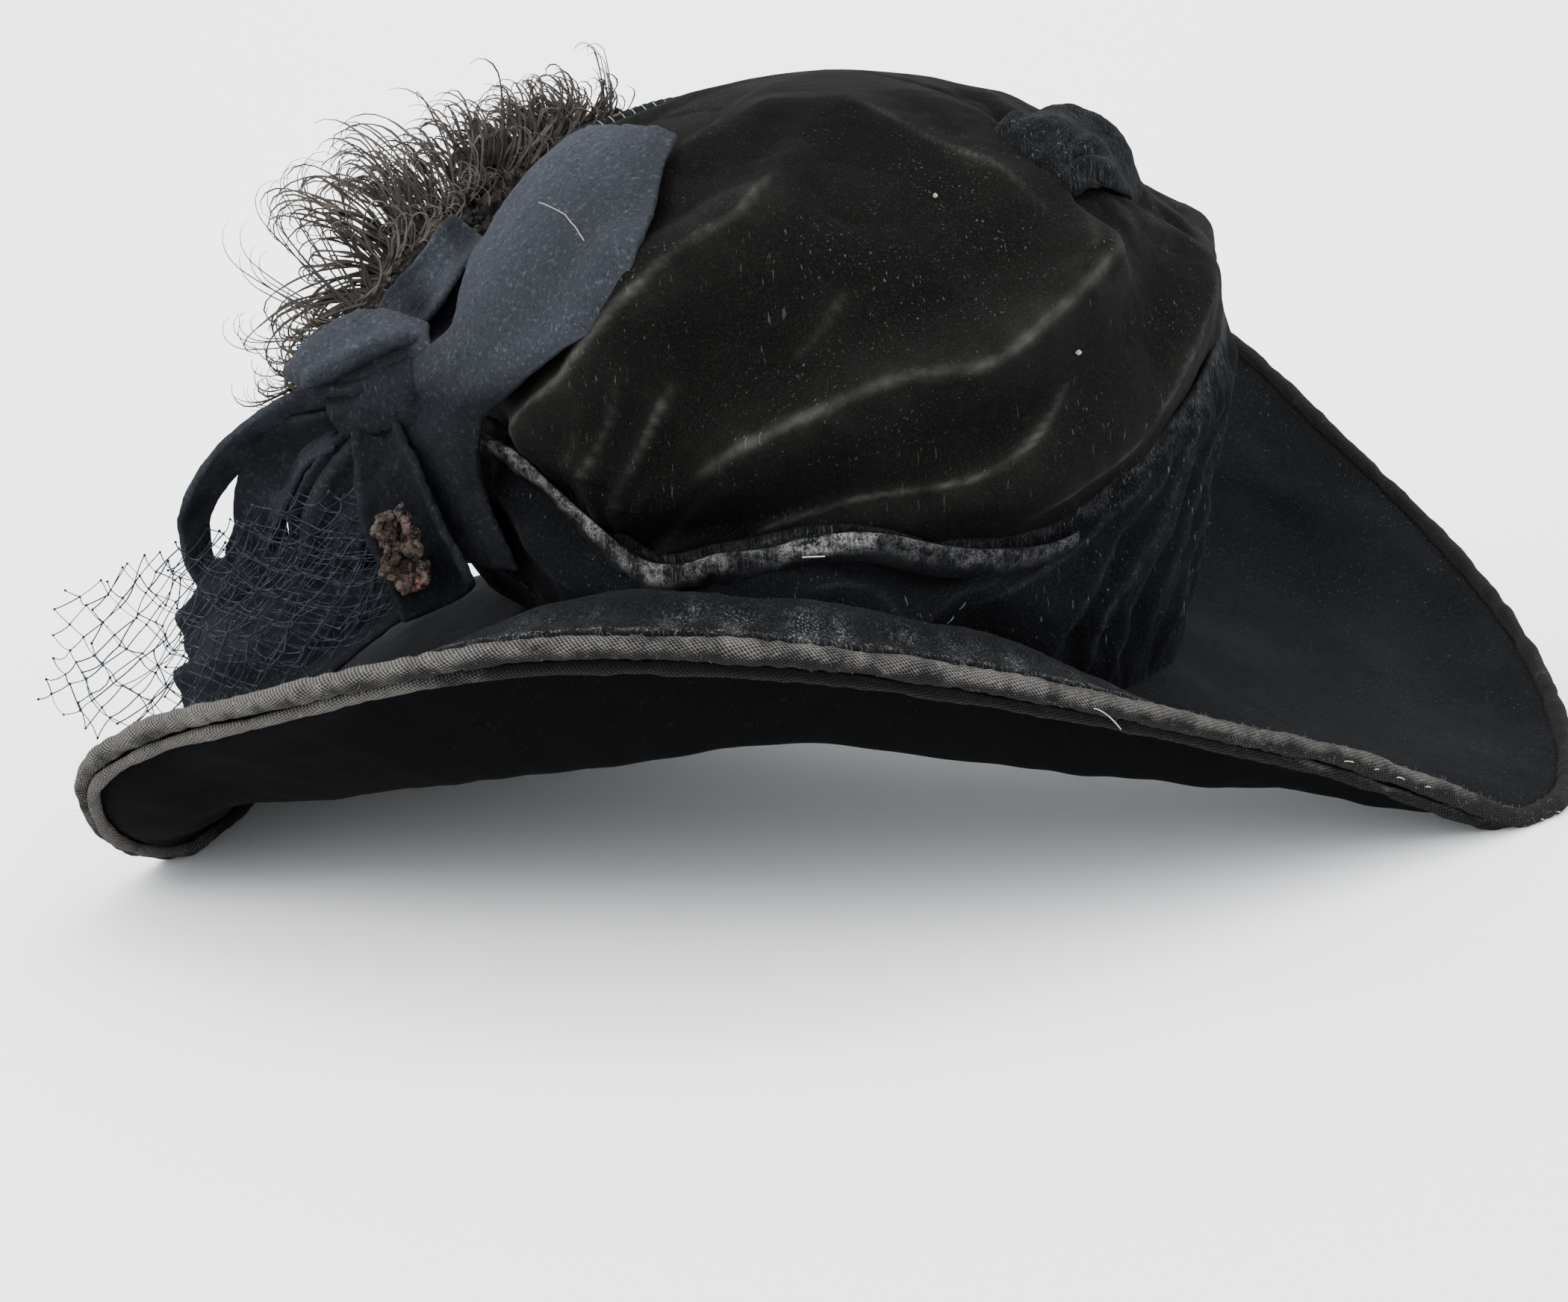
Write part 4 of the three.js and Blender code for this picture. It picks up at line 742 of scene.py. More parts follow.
# Folds of the band, as the crown's, on lines of azimuth and share of the band's height.
BAND_LINES = [
    (4.5, 6, 5, 0.5, [(306, 0.02), (306, 0.18), (308, 0.37), (315, 0.55), (322, 0.77), (329, 0.96)]),
    (4.0, 5, 5, 0.5, [(312, 0.02), (313, 0.2), (315, 0.4), (321, 0.62), (328, 0.82), (332, 0.97)]),
    (3.5, 4, 4, 0.5, [(320, 0.02), (320, 0.25), (323, 0.45), (328, 0.66), (333, 0.88)]),
    (4.0, 5, 5, 0.5, [(296, 0.1), (298, 0.27), (302, 0.5), (310, 0.7), (319, 0.86), (326, 0.97)]),
    (3.5, 6, 4, 0.5, [(284, 0.55), (291, 0.68), (299, 0.78), (309, 0.85), (318, 0.93)]),
    (3.0, 4, 4, 0.5, [(328, 0.02), (328, 0.25), (331, 0.5), (335, 0.75), (338, 0.95)]),
    (3.0, 5, 4, 0.5, [(337, 0.02), (337, 0.3), (339, 0.6), (342, 0.92)]),
    (2.6, 4, 5, 0.5, [(348, 0.1), (348, 0.4), (349, 0.7), (351, 0.95)]),
    (2.2, 3, 3, 0.6, [(309, 0.3), (314, 0.47), (320, 0.65), (326, 0.85)]),
    (-3.5, 5, 5, 0.2, [(302, 0.15), (304, 0.35), (311, 0.55), (319, 0.74), (327, 0.9)]),
    (-3.0, 4, 4, 0.2, [(309, 0.1), (310, 0.3), (317, 0.5), (324, 0.7), (330, 0.9)]),
    (-3.0, 4, 4, 0.2, [(316, 0.05), (317, 0.3), (322, 0.5), (328, 0.75)]),
    (-5.5, 8, 5, 0.2, [(264, 0.85), (269, 0.8), (274, 0.72), (280, 0.74), (287, 0.8)]),
    (3.0, 6, 7, 0.4, [(262, 0.6), (267, 0.63), (272, 0.6), (275, 0.5), (276, 0.36)]),
    (3.0, 4, 6, 0.5, [(276, 0.36), (280, 0.5), (285, 0.66), (291, 0.75)]),
    (4.0, 5, 6, 0.4, [(194, 0.9), (194, 0.6), (195, 0.38), (197, 0.2), (200, 0.03)]),
    (2.5, 4, 5, 0.5, [(198, 0.85), (200, 0.62), (204, 0.42), (209, 0.2)]),
    (3.0, 7, 6, 0.3, [(208, 0.8), (214, 0.6), (221, 0.45), (230, 0.4)]),
    (-2.5, 6, 6, 0.2, [(203, 0.9), (208, 0.65), (214, 0.42), (222, 0.25)]),
    (2.5, 7, 7, 0.4, [(232, 0.35), (242, 0.5), (252, 0.45), (262, 0.3)]),
    (3.5, 8, 7, 0.4, [(5, 0.12), (15, 0.35), (28, 0.62), (42, 0.88)]),
    (3.5, 7, 8, 0.4, [(35, 0.1), (48, 0.35), (62, 0.6), (74, 0.85)]),
    (3.0, 8, 7, 0.4, [(70, 0.15), (88, 0.4), (104, 0.62), (122, 0.8)]),
    (3.5, 7, 7, 0.4, [(100, 0.08), (118, 0.3), (138, 0.5), (158, 0.75)]),
    (3.0, 6, 7, 0.4, [(138, 0.1), (152, 0.35), (166, 0.6), (180, 0.85)]),
    (3.0, 5, 6, 0.4, [(162, 0.08), (174, 0.3), (184, 0.55), (190, 0.8)]),
]


def brim_top(az, reach):
    """The height of the brim's upper side at each azimuth and distance from the middle."""
    line = brim_line(az)
    n = line_normals(line)
    upper = line + n * BRIM_WALL / 2
    return np.array([np.interp(r, u[:BEFORE_BEND, 0], u[:BEFORE_BEND, 1]) for r, u in zip(reach, upper)])


def band_piece():
    """The draped band, its foot brought down into the brim and its upper edge rounded."""
    count = 540
    az = (np.arange(count) * 360 / count)[:, None]
    v = np.linspace(0, 1, 56)[None, :]
    flat = band_at(az, v)
    normals = surface_normals(flat)
    height, ridge = folded(flat, normals, BAND_LINES, band_at)
    fade = window(v, 0, 0.08, 0.9, 1.0) * 0.75 + 0.25
    fine = np.sin(np.radians(az) * 96 + 5 * waves(flat, 60, 11)) * window(az, 290, 318, 338, 352)
    height = height + 1.0 * waves(flat, 30, 12) + 0.35 * waves(flat, 11, 13) + 0.5 * fine
    least = 0.5 - band_stand(az, v)
    height = np.maximum(height * fade, least)
    outer = band_at(az, v, height)
    foot = outer[:, 0].copy()
    reach = np.hypot(foot[:, 0], foot[:, 1])
    ground = brim_top(az[:, 0], reach) - 1.0
    drop = (1 - v) ** 2 * (ground - outer[:, 0, 2])[:, None]
    outer[..., 2] += drop
    back = v[:, ::-1]
    inner = band_at(az, back, np.maximum(height[:, ::-1] - 1.6, 0.4 - BAND_WALL - band_stand(az, back)))
    inner[..., 2] += drop[:, ::-1]
    inner = inner[:, ::3]
    lip = 0.5 * (outer[:, -1] + inner[:, 0])
    lip[:, 2] += 0.5
    points = np.concatenate([outer, lip[:, None], inner], 1)
    # The ridge layer paints the folds' crests paler, partly a painted sheen highlight and partly wear; the
    # worn layer rubs the upper edge and, more lightly, the crests.
    rub = bump(v, 0.96, 0.05) * 0.25 + ridge * 0.35
    plain = np.zeros((count, 1 + inner.shape[1]))
    layers = {"ridge": np.concatenate([ridge, plain], 1), "worn": np.concatenate([rub + 0 * az, plain], 1)}
    faces, _ = grid_faces(*points.shape[:2], True, True)
    faces = face_out(points, faces, CENTRE)
    build("band_velvet", points, faces, BAND_LOOK, "velvet_band", ("crown_band",), layers)


# ---- folded edge of the band at the back
HEM_STAND = GAP * 4 + BAND_WALL + HEM_THICK / 2 + BAND_PUFF * 0.35
# Faded places: azimuth, reach in degrees and how much.
HEM_WORN = [(265, 6, 1.1), (210, 8, 0.85), (243, 7, 0.6), (228, 5, 0.5)]


def hem_middle(az, share, out=0):
    """Points on the fold's middle surface, share from 0 at its lower side to 1 at its upper."""
    rise = round_table(BAND_TOP, "top", az) - HEM_DROP / CROWN_HIGH
    lower = rise - HEM_WIDE / CROWN_HIGH
    return crown_at(az, crown_share(lower + (rise - lower) * share), HEM_STAND + out)


def hem_piece():
    """The soft roll of the band's upper edge at the back, pressed in at the staple."""
    az = np.linspace(200, 303, 360)[:, None]
    turn = np.linspace(0, 2 * math.pi, 44, endpoint=False)[None, :]
    taper = window(az, 200, 205, 292, 303)
    uneven = 1 + 0.12 * waves(hem_middle(az, 0.5 + 0 * az), 24, 24)
    share = 0.58 + 0.42 * np.cos(turn) * (0.5 + 0.5 * taper) * uneven
    bulge = np.sin(turn) * (HEM_THICK / 2 + 0.4) * (0.35 + 0.65 * taper)
    flat = hem_middle(az, share, 0 * turn)
    puff = 0.9 * waves(flat, 15, 21) + 0.35 * waves(flat, 6, 22)
    press = -1.6 * bump(az, 264.5, 1.6)
    out = bulge + np.where(np.sin(turn) > 0, (puff + press) * taper, 0.1 * puff)
    points = hem_middle(az, share, out)
    lift = 1.5 * np.sin(np.radians((az - 262) * 6)) * window(az, 244, 262, 274, 290)
    points[..., 2] += lift
    patch = 0.3 + sum(much * bump(az, at, wide) for at, wide, much in HEM_WORN)
    worn = patch * smooth(0.35, 0.75, share) * (np.sin(turn) > -0.3)
    rows, cols = points.shape[:2]
    faces, _ = grid_faces(rows, cols, False, True)
    faces = faces.tolist() + end_caps(rows, cols)
    layers = {"ridge": 0.0 * worn, "worn": worn}
    build("hem_fold", points.reshape(-1, 3), faces, HEM_LOOK, "velvet_hem", ("band_hem",), layers)


# ---- brim
def on_brim(az, share):
    """Points on the brim's upper side, share from 0 at the head line to 1 at the edge."""
    az = np.atleast_1d(az)
    line = brim_line(az)
    i = np.clip(share, 0, 1) * (line.shape[1] - 1)
    low = np.minimum(np.floor(i).astype(int), line.shape[1] - 2)
    pick = np.arange(len(az))
    p = line[pick, low] + (line[pick, low + 1] - line[pick, low]) * (i - low)[:, None]
    return polar(az, p[:, 0], p[:, 1] + BRIM_WALL / 2)


# Waves of the brim's upper and lower side, on lines of azimuth and share from head line to edge.
BRIM_LINES = [
    (2.2, 9, 6, 0.4, [(47, 0.7), (43, 0.73), (38, 0.75), (33, 0.77), (29, 0.8)]),
    (1.8, 6, 8, 0.4, [(43, 0.6), (40, 0.68), (36, 0.72), (31, 0.76)]),
    (1.4, 10, 10, 0.3, [(30, 0.86), (24, 0.9), (18, 0.93)]),
    (1.6, 12, 12, 0.3, [(5, 0.5), (12, 0.6), (20, 0.7), (26, 0.84)]),
    (1.6, 12, 14, 0.3, [(70, 0.4), (80, 0.55), (86, 0.75)]),
    (1.8, 12, 12, 0.3, [(120, 0.45), (130, 0.6), (138, 0.8)]),
    (1.6, 12, 12, 0.3, [(160, 0.4), (168, 0.6), (176, 0.8)]),
]
UNDER_LINES = [
    (2.4, 6, 9, 0.5, [(188, 0.95), (196, 0.88), (206, 0.84), (216, 0.86)]),
    (1.6, 6, 9, 0.5, [(180, 0.8), (186, 0.72), (194, 0.66), (204, 0.64)]),
    (1.4, 8, 8, 0.4, [(226, 0.9), (240, 0.92), (256, 0.92), (272, 0.9)]),
    (1.5, 9, 9, 0.4, [(330, 0.85), (340, 0.75), (350, 0.7)]),
]
# Rubbed places on the roll: azimuth, reach in degrees and how much.
ROLL_WORN = [(240, 5, 0.4), (253.5, 1.8, 1.0), (258, 2, 0.5), (264.5, 1.6, 1.0), (267.5, 1.0, 1.0),
             (274, 1.5, 1.0), (279, 2, 0.6), (285.5, 1.7, 1.0), (291, 2, 0.6), (298, 3, 0.45)]


def brim_piece():
    """The brim's two velvet sides, their rim against the cord and the worn roll."""
    az = np.linspace(0, 360, 620, endpoint=False)
    line = brim_line(az)
    n = line_normals(line)
    count = line.shape[1]
    share = np.linspace(0, 1, count)[None, :]
    a = az[:, None]
    middle = polar(a, line[..., 0], line[..., 1])
    up_normal = polar(a, n[..., 0], n[..., 1])
    above, ridge = folded(middle, up_normal, BRIM_LINES, on_brim)
    under, under_ridge = folded(middle, up_normal, UNDER_LINES, on_brim)
    edge = smooth(1.0, 0.9, share) * 0.8 + 0.2
    above = above + 0.8 * waves(middle, 60, 31) + 0.3 * waves(middle, 22, 32) + 0.1 * waves(middle, 9, 33)
    above = above * edge
    under = (under + 0.7 * waves(middle, 50, 34) + 0.25 * waves(middle, 18, 35)) * edge
    half = BRIM_WALL / 2
    roll = np.clip(round_table(BRIM, "roll", az), 0, 1)[:, None]
    in_roll = smooth(0.74, 0.84, share) * roll
    middle[..., 2] -= 4.5 * roll * window(share, 0.45, 0.78, 0.86, 1.0)
    pucker = np.sin(np.radians(a) * 150 + 3 * waves(middle, 25, 36)) * in_roll
    upper = middle + up_normal * (half + np.maximum(above, -0.6) + 0.14 * pucker + 0.5 * in_roll)[..., None]
    lower = middle - up_normal * (half + np.maximum(under, -0.6))[..., None]
    lower[..., 2] = np.maximum(lower[..., 2], 0.15)
    cord = brim_edge(az)[1]
    rim = polar(az, cord[:, 0], cord[:, 1]) * 0.6 + middle[:, -1] * 0.4
    points = np.concatenate([upper, rim[:, None], lower[:, ::-1], middle[:, :1]], 1)
    worn = np.zeros(upper.shape[:2])
    for at, wide, much in ROLL_WORN:
        worn = np.maximum(worn, much * bump(a, at, wide))
    low = smooth(0.8, 0.88, share) * (0.6 + 0.4 * waves(middle, 12, 38).clip(-1, 1))
    worn = (1.1 * worn * low + 0.07 + 0.04 * waves(middle, 30, 39)) * in_roll * smooth(0.72, 0.8, share)
    edge_rub = 0.8 * bump(share, 0.985, 0.012) * (window(a, 200, 225, 300, 330))
    worn = np.maximum(worn, edge_rub).clip(0, 1)
    one, below = np.zeros((len(az), 1)), np.ones((len(az), count + 1))
    # The ridge layers paint the waves' crests paler on both sides, partly a painted sheen highlight and
    # partly wear; the shade layer paints shade on the top of the roll, the rim and the whole underside.
    layers = {
        "ridge": np.concatenate([ridge * 0.9, one, under_ridge[:, ::-1] * 0.5, one], 1),
        "worn": np.concatenate([worn, one, 0 * below], 1),
        "shade": np.concatenate([0.45 * in_roll + 0 * a, one + 0.3, below], 1),
    }
    faces, _ = grid_faces(*points.shape[:2], True, True)
    outside = points.reshape(-1, 3)
    p = outside[faces]
    normal = np.cross(p[:, 1] - p[:, 0], p[:, 2] - p[:, 0])
    first = (faces % points.shape[1] < 20).all(1)
    if normal[first, 2].sum() < 0:
        faces = faces[:, ::-1]
    build("brim_velvet", points, faces, BRIM_LOOK, "velvet_brim", ("brim",), layers)


# ---- cords
def cord_piece(node, radius, sides, middle_of, look, slot, pale_at, seed):
    """A cord round the edge, a little lumpy, with how far round and along it as its UV."""
    count = 1040
    az = np.linspace(0, 360, count, endpoint=False)
    middle = middle_of(az)
    turn = 2 * math.pi * (np.arange(sides) + 0.5) / sides
    place = polar(az, middle[:, 0], middle[:, 1])
    lump = 0.1 * waves(place, 14, seed) + 0.06 * waves(place, 5, seed + 1)
    r = radius * (1 + lump)[:, None]
    x = middle[:, :1] + r * np.cos(turn)
    z = np.maximum(middle[:, 1:] + r * np.sin(turn), 0)
    points = polar(az[:, None], x, z)
    ring = points.mean(1)
    step = np.linalg.norm(np.roll(ring, -1, 0) - ring, axis=1)
    at = np.concatenate([[0], np.cumsum(step)])
    faces, corners = grid_faces(count, sides, True, True)
    uv = np.stack([at[corners[..., 0]], corners[..., 1] * 2 * math.pi * radius / sides], -1)
    turned = face_out(points - ring[:, None], faces, np.zeros(3))
    if turned[0, 0] != faces[0, 0]:
        uv = uv[:, ::-1]
    worn = pale_at(az[:, None], turn[None, :])
    layers = {"worn": worn, "ridge": 0 * worn}
    build(node + "_twill", points, turned, look, slot, (node,), layers, uv.reshape(-1, 2))


def edge_middle(az):
    return brim_edge(az)[1]


def under_middle(az):
    """The middle of the thin cord, which lies below and behind the thick one."""
    tangent, cord, roll, _ = brim_edge(az)
    way = unit(np.stack([tangent[:, 1], -tangent[:, 0]], -1) - 1.2 * tangent)
    way = unit(way * (1 - roll[:, None]) + np.array([-0.3, -0.95]) * roll[:, None])
    return cord + way * (EDGE_R + UNDER_R + 2 * GAP)


def edge_wear_and_highlight(az, turn):
    """The cord is paler along its upper outer side, partly rubbed and partly a painted highlight, most at the
    left end, and dark beneath.
    """
    top = smooth(-0.7, 0.5, np.sin(turn + 0.1))
    left = bump(az, 208, 24)
    back = window(az, 180, 196, 330, 346)
    return (0.26 + 0.4 * top + 0.34 * left) * (0.25 + 0.75 * back)


def under_worn(az, turn):
    left = window(az, 244, 228, 192, 176)
    right = window(az, 300, 322, 338, 348)
    return np.clip(0.08 + 0.8 * left + 0.5 * right * smooth(-0.9, 0.2, np.sin(turn)), 0, 1)


# ---- strips of felt and the tuck of velvet, on the lines of the part's source
def beside_crown(rows):
    """Points from rows of azimuth, distance in crown half widths and rise in crown heights."""
    rows = np.array(rows, float)
    return polar(rows[:, 0], rows[:, 1] * CROWN_WIDE, HEAD_HIGH + rows[:, 2] * CROWN_HIGH)


def curve_at(points, t):
    """A centripetal Catmull-Rom curve through the points, t from 0 to 1, evenly over its spans."""
    first, last = 2 * points[0] - points[1], 2 * points[-1] - points[-2]
    p = np.concatenate([[first], points, [last]])
    x = np.clip(t, 0, 1) * (len(points) - 1)
    i = np.minimum(np.floor(x).astype(int), len(points) - 2)
    w = (x - i)[:, None]
    a, b, c, d = p[i], p[i + 1], p[i + 2], p[i + 3]
    gap = [np.maximum(np.linalg.norm(step, axis=1), 1e-6)[:, None] ** 0.5 for step in (b - a, c - b, d - c)]
    slope_b = ((b - a) / gap[0] - (c - a) / (gap[0] + gap[1]) + (c - b) / gap[1]) * gap[1]
    slope_c = ((c - b) / gap[1] - (d - b) / (gap[1] + gap[2]) + (d - c) / gap[2]) * gap[1]
    return hermite(b, slope_b, c, slope_c, w)


def turn_about(v, axis, angle):
    """Vectors turned about an axis by an angle in radians."""
    c, s = np.cos(angle)[:, None], np.sin(angle)[:, None]
    return v * c + np.cross(axis, v) * s + axis * (axis * v).sum(1)[:, None] * (1 - c)


def along_curve(points, t, sideways):
    """A curve's points, its direction, and the way square to it that is nearest to sideways."""
    step = 1e-3
    tangent = unit(curve_at(points, np.minimum(t + step, 1)) - curve_at(points, np.maximum(t - step, 0)))
    way = unit(np.array(sideways, float))
    return curve_at(points, t), tangent, unit(way - tangent * (tangent @ way)[:, None])


def strip_surface(rows, sideways, shape, steps, across, turned=0):
    """The middle surface of a strip: steps along it, across over its width, bent by shape(t, s).
    Rows are azimuth, reach, rise, width and cup; turned is its twist about its line in degrees."""
    t = np.linspace(0, 1, steps)
    middle, tangent, side = along_curve(beside_crown(rows), t, sideways)
    face = unit(np.cross(side, tangent))
    side, face = (turn_about(v, tangent, np.radians(turned) + 0 * t) for v in (side, face))
    rows = np.array(rows, float)
    width = even_table(rows[:, 3], t) * BOW
    cup = even_table(rows[:, 4], t) * width
    T, S = np.meshgrid(t, np.linspace(-0.5, 0.5, across), indexing="ij")
    bend, edge = shape(T, S)
    wide = (width[:, None] + edge * np.abs(2 * S)) * S
    out = cup[:, None] * (1 - 4 * S * S) + bend
    return middle[:, None] + side[:, None] * wide[..., None] + face[:, None] * out[..., None]


def patch_surface(left, right, bulge, shape, steps, across):
    """A cloth over the crown between two edges given as rows of azimuth, rise and distance."""
    left, right = np.array(left, float), np.array(right, float)
    T, S = np.meshgrid(np.linspace(0, 1, steps), np.linspace(0, 1, across), indexing="ij")
    az, rise, out = (even_table(left[:, k], T) * (1 - S) + even_table(right[:, k], T) * S for k in range(3))
    bend, edge = shape(T, S - 0.5)
    az = az + (S - 0.5) * edge * 0.5
    return crown_at(az, crown_share(np.clip(rise, 0.005, 0.995)), out + bulge * 4 * S * (1 - S) + bend)


def between(upper, lower, bulge, shape, steps, across):
    """A cloth between two free curves given as rows beside the crown, swollen towards its front."""
    t = np.linspace(0, 1, steps)
    a, b = curve_at(beside_crown(upper), t)[:, None], curve_at(beside_crown(lower), t)[:, None]
    T, S = np.meshgrid(t, np.linspace(0, 1, across), indexing="ij")
    bend, _ = shape(T, S - 0.5)
    flat = a + (b - a) * S[..., None]
    front = np.cross(np.gradient(flat, axis=0), np.gradient(flat, axis=1)).sum((0, 1))
    front = unit(front * -np.sign(front[1]))
    return flat + front * (bulge * 4 * S * (1 - S) + bend)[..., None]


def cloth(name, middle, look, slot, node, worn=0.0, thick=2.6, rough=0.2):
    """A thick cloth with rounded edges on both sides of a middle surface."""
    steps, across = middle.shape[:2]
    n = unit(np.cross(np.gradient(middle, axis=0), np.gradient(middle, axis=1)))
    run = np.concatenate([[0], np.cumsum(np.linalg.norm(np.diff(middle[:, across // 2], axis=0), axis=1))])
    near_end = np.clip(np.minimum(run, run[-1] - run) / (thick * 0.6), 0, 1)
    half = (thick / 2 * (0.15 + 0.85 * np.sqrt(1 - (1 - near_end) ** 2)))[:, None, None]
    rim = 6
    angle = (np.pi * np.arange(1, rim) / rim)[None, :, None]
    low_side, high_side = unit(middle[:, 0] - middle[:, 1]), unit(middle[:, -1] - middle[:, -2])
    right = middle[:, -1:] + (high_side[:, None] * np.sin(angle) + n[:, -1:] * np.cos(angle)) * half
    left = middle[:, :1] + (low_side[:, None] * np.sin(angle) - n[:, :1] * np.cos(angle)) * half
    top, low = middle + n * half, middle - n * half
    points = np.concatenate([top, right, low[:, ::-1], left], 1)
    normal = np.concatenate([n, high_side[:, None] + 0 * right, -n[:, ::-1], low_side[:, None] + 0 * left], 1)
    uneven = rough * (waves(points, 6, 41) + 0.6 * waves(points, 2.6, 42))
    points = points + normal * uneven[..., None]
    cols = points.shape[1]
    faces, _ = grid_faces(steps, cols, False, True)
    faces = faces.tolist()
    for row, flip in ((0, False), (steps - 1, True)):
        upper = row * cols + np.arange(across)
        lower = row * cols + across + rim - 1 + np.arange(across)[::-1]
        caps = [(upper[i], upper[i + 1], lower[i + 1], lower[i]) for i in range(across - 1)]
        caps.append(row * cols + np.arange(across + rim - 1, across - 2, -1))
        caps.append(row * cols + np.array([0, *range(cols - 1, cols - rim - 1, -1)]))
        faces += [[int(x) for x in (c[::-1] if flip else c)] for c in caps]
    flat = points.reshape(-1, 3)
    f = np.array(faces[: (steps - 1) * cols : 7])
    away = np.cross(flat[f[:, 1]] - flat[f[:, 0]], flat[f[:, 2]] - flat[f[:, 0]])
    if (away * normal.reshape(-1, 3)[f[:, 0]]).sum() < 0:
        faces = [face[::-1] for face in faces]
    worn = worn + np.zeros((steps, across))
    edge = np.ones(rim - 1)
    made = np.concatenate([worn, worn[:, -1:] * edge, worn[:, ::-1], worn[:, :1] * edge], 1)
    build(name, flat, faces, look, slot, (node,) if node else (), {"worn": made, "ridge": 0 * made})


ACROSS_BACK = (0.93, -0.35, 0.1)
AWAY_FROM_BACK = (-0.4, 0.88, -0.25)
UP_THE_TAIL = (-0.1, 0.6, 0.8)
UP_THE_PETAL = (0.1, 0.3, 0.95)

# Strips of felt as rows of azimuth, distance, rise, width and cup.
STRAP = [(196, 0.97, 0.765, 0.15, 0.2), (196, 1.06, 0.7, 0.16, 0.22), (197, 1.15, 0.635, 0.17, 0.2),
         (198, 1.25, 0.57, 0.14, 0.15)]
PETAL_UPPER = [(197.5, 1.476, 0.541), (198.5, 1.431, 0.582), (200, 1.355, 0.62), (202.5, 1.255, 0.638),
               (206.6, 1.15, 0.611)]
PETAL_LOWER = [(197.7, 1.47, 0.533), (199.5, 1.433, 0.513), (201.6, 1.369, 0.505),
               (204.5, 1.263, 0.519), (207.9, 1.141, 0.56)]
NECK = [(200, 0.93, 0.7, 0.2, 0.1), (200, 1.05, 0.61, 0.26, 0.1), (202, 1.15, 0.52, 0.26, 0.1)]
KNOT = [(207, 1.13, 0.52, 0.16, 0.3), (205, 1.19, 0.51, 0.2, 0.35), (201, 1.27, 0.49, 0.2, 0.35),
        (198, 1.37, 0.46, 0.12, 0.3)]
RING = [(198, 1.29, 0.48, 0.17, 0.02), (193, 1.47, 0.46, 0.17, 0.02), (189, 1.66, 0.37, 0.16, 0.02),
        (186, 1.77, 0.25, 0.15, 0.02), (185, 1.75, 0.14, 0.14, 0.02), (186, 1.65, 0.14, 0.15, 0.02),
        (188, 1.56, 0.25, 0.16, 0.02), (190, 1.46, 0.36, 0.18, 0.02), (195, 1.34, 0.43, 0.18, 0.02)]
BACK_LEG = [(199, 1.3, 0.44, 0.14, 0.15), (192, 1.49, 0.38, 0.17, 0.2), (189.5, 1.57, 0.26, 0.16, 0.2),
            (190.5, 1.54, 0.14, 0.13, 0.15)]
SECOND = [(200, 1.28, 0.42, 0.16, 0.16), (199, 1.36, 0.34, 0.24, 0.2), (198, 1.42, 0.24, 0.26, 0.18),
          (198, 1.4, 0.15, 0.18, 0.1)]
ROLLED = [(203, 1.29, 0.45, 0.14, 0.4), (206, 1.29, 0.35, 0.2, 0.5), (209, 1.27, 0.25, 0.23, 0.55),
          (212.5, 1.235, 0.145, 0.25, 0.5)]
TAIL = [(206, 1.2, 0.175, 0.16, 0.02), (200.5, 1.35, 0.14, 0.36, 0.04), (194, 1.51, 0.08, 0.52, 0.06),
        (188, 1.69, 0.02, 0.5, 0.06), (184.5, 1.82, -0.03, 0.36, 0.04)]
# The leaf's and the tuck's edges as rows of azimuth, rise and distance off the crown.
LEAF_LEFT = [(197, 0.868, 5), (200, 0.805, 6), (202, 0.715, 7), (204, 0.61, 9), (208, 0.545, 14),
             (205, 0.49, 23), (196, 0.43, 28), (195, 0.385, 28), (196, 0.3, 28), (197, 0.2, 29),
             (197, 0.1, 27)]
LEAF_RIGHT = [(232, 0.892, 5), (237.5, 0.8, 7), (242, 0.69, 8), (240, 0.6, 8), (230, 0.53, 10),
              (221, 0.455, 14), (216, 0.405, 18), (214.5, 0.345, 22), (213.5, 0.27, 24),
              (214.5, 0.19, 24), (215.5, 0.11, 22)]
TUCK_LEFT = [(310, 0.897, -1), (308, 0.888, 0.5), (308.5, 0.87, 1.5), (311.5, 0.84, 2.5),
             (312, 0.81, 2), (314, 0.785, 1)]
TUCK_RIGHT = [(338, 0.907, 0), (345, 0.897, 0), (351, 0.875, 0), (354, 0.84, 0), (352, 0.805, 0),
              (346, 0.775, 0)]


def grid_shares(steps, across):
    """Shares along a cloth, 0 to 1, and over its width, -0.5 to 0.5, at each point of its grid."""
    return np.meshgrid(np.linspace(0, 1, steps), np.linspace(-0.5, 0.5, across), indexing="ij")


def felt_shape(seed, swell, ragged, fold=None):
    """Gentle unevenness of a felt strip, its cut edge, and a fold of its own if given."""
    a, b, c, d = np.random.default_rng(seed).uniform(0, 6.28, 4)

    def shape(t, s):
        bend = np.sin(7 * t + 3 * s + a) * 0.5 + np.sin(12 * t - 5 * s + b) * 0.3
        bend = swell * (bend + np.sin(4 * s + 9 * t + c) * 0.3) + (fold(t, s) if fold else 0)
        edge = ragged * (np.sin(13 * t + d + 2 * s) + 0.4 * np.sin(37 * t + a) + 0.2 * np.sin(83 * t + b))
        return bend, edge

    return shape


def leaf_fold(t, s):
    """The leaf's broad swell, the dimple by the knot and the edges that turn under."""
    swell = 3.5 * bump(t, 0.25, 0.22) * bump(s, -0.05, 0.3)
    ridge = 4.0 * bump(s, -0.1, 0.16) * window(t, 0.45, 0.62, 0.8, 1)
    dimple = -2.5 * bump(t, 0.52, 0.07) * bump(s, 0.05, 0.2)
    under = -2.2 * smooth(0.38, 0.5, s) - 2.6 * smooth(-0.36, -0.5, s)
    return swell + ridge + dimple + under


def tail_fold(t, s):
    return (2.4 * np.sin(11 * s + 3 * t + 0.6) + 1.2 * np.sin(23 * s - 2 * t)) * smooth(0, 0.35, t)


def ring_fold(t, s):
    return -2.5 + np.sin(9 * t) * s


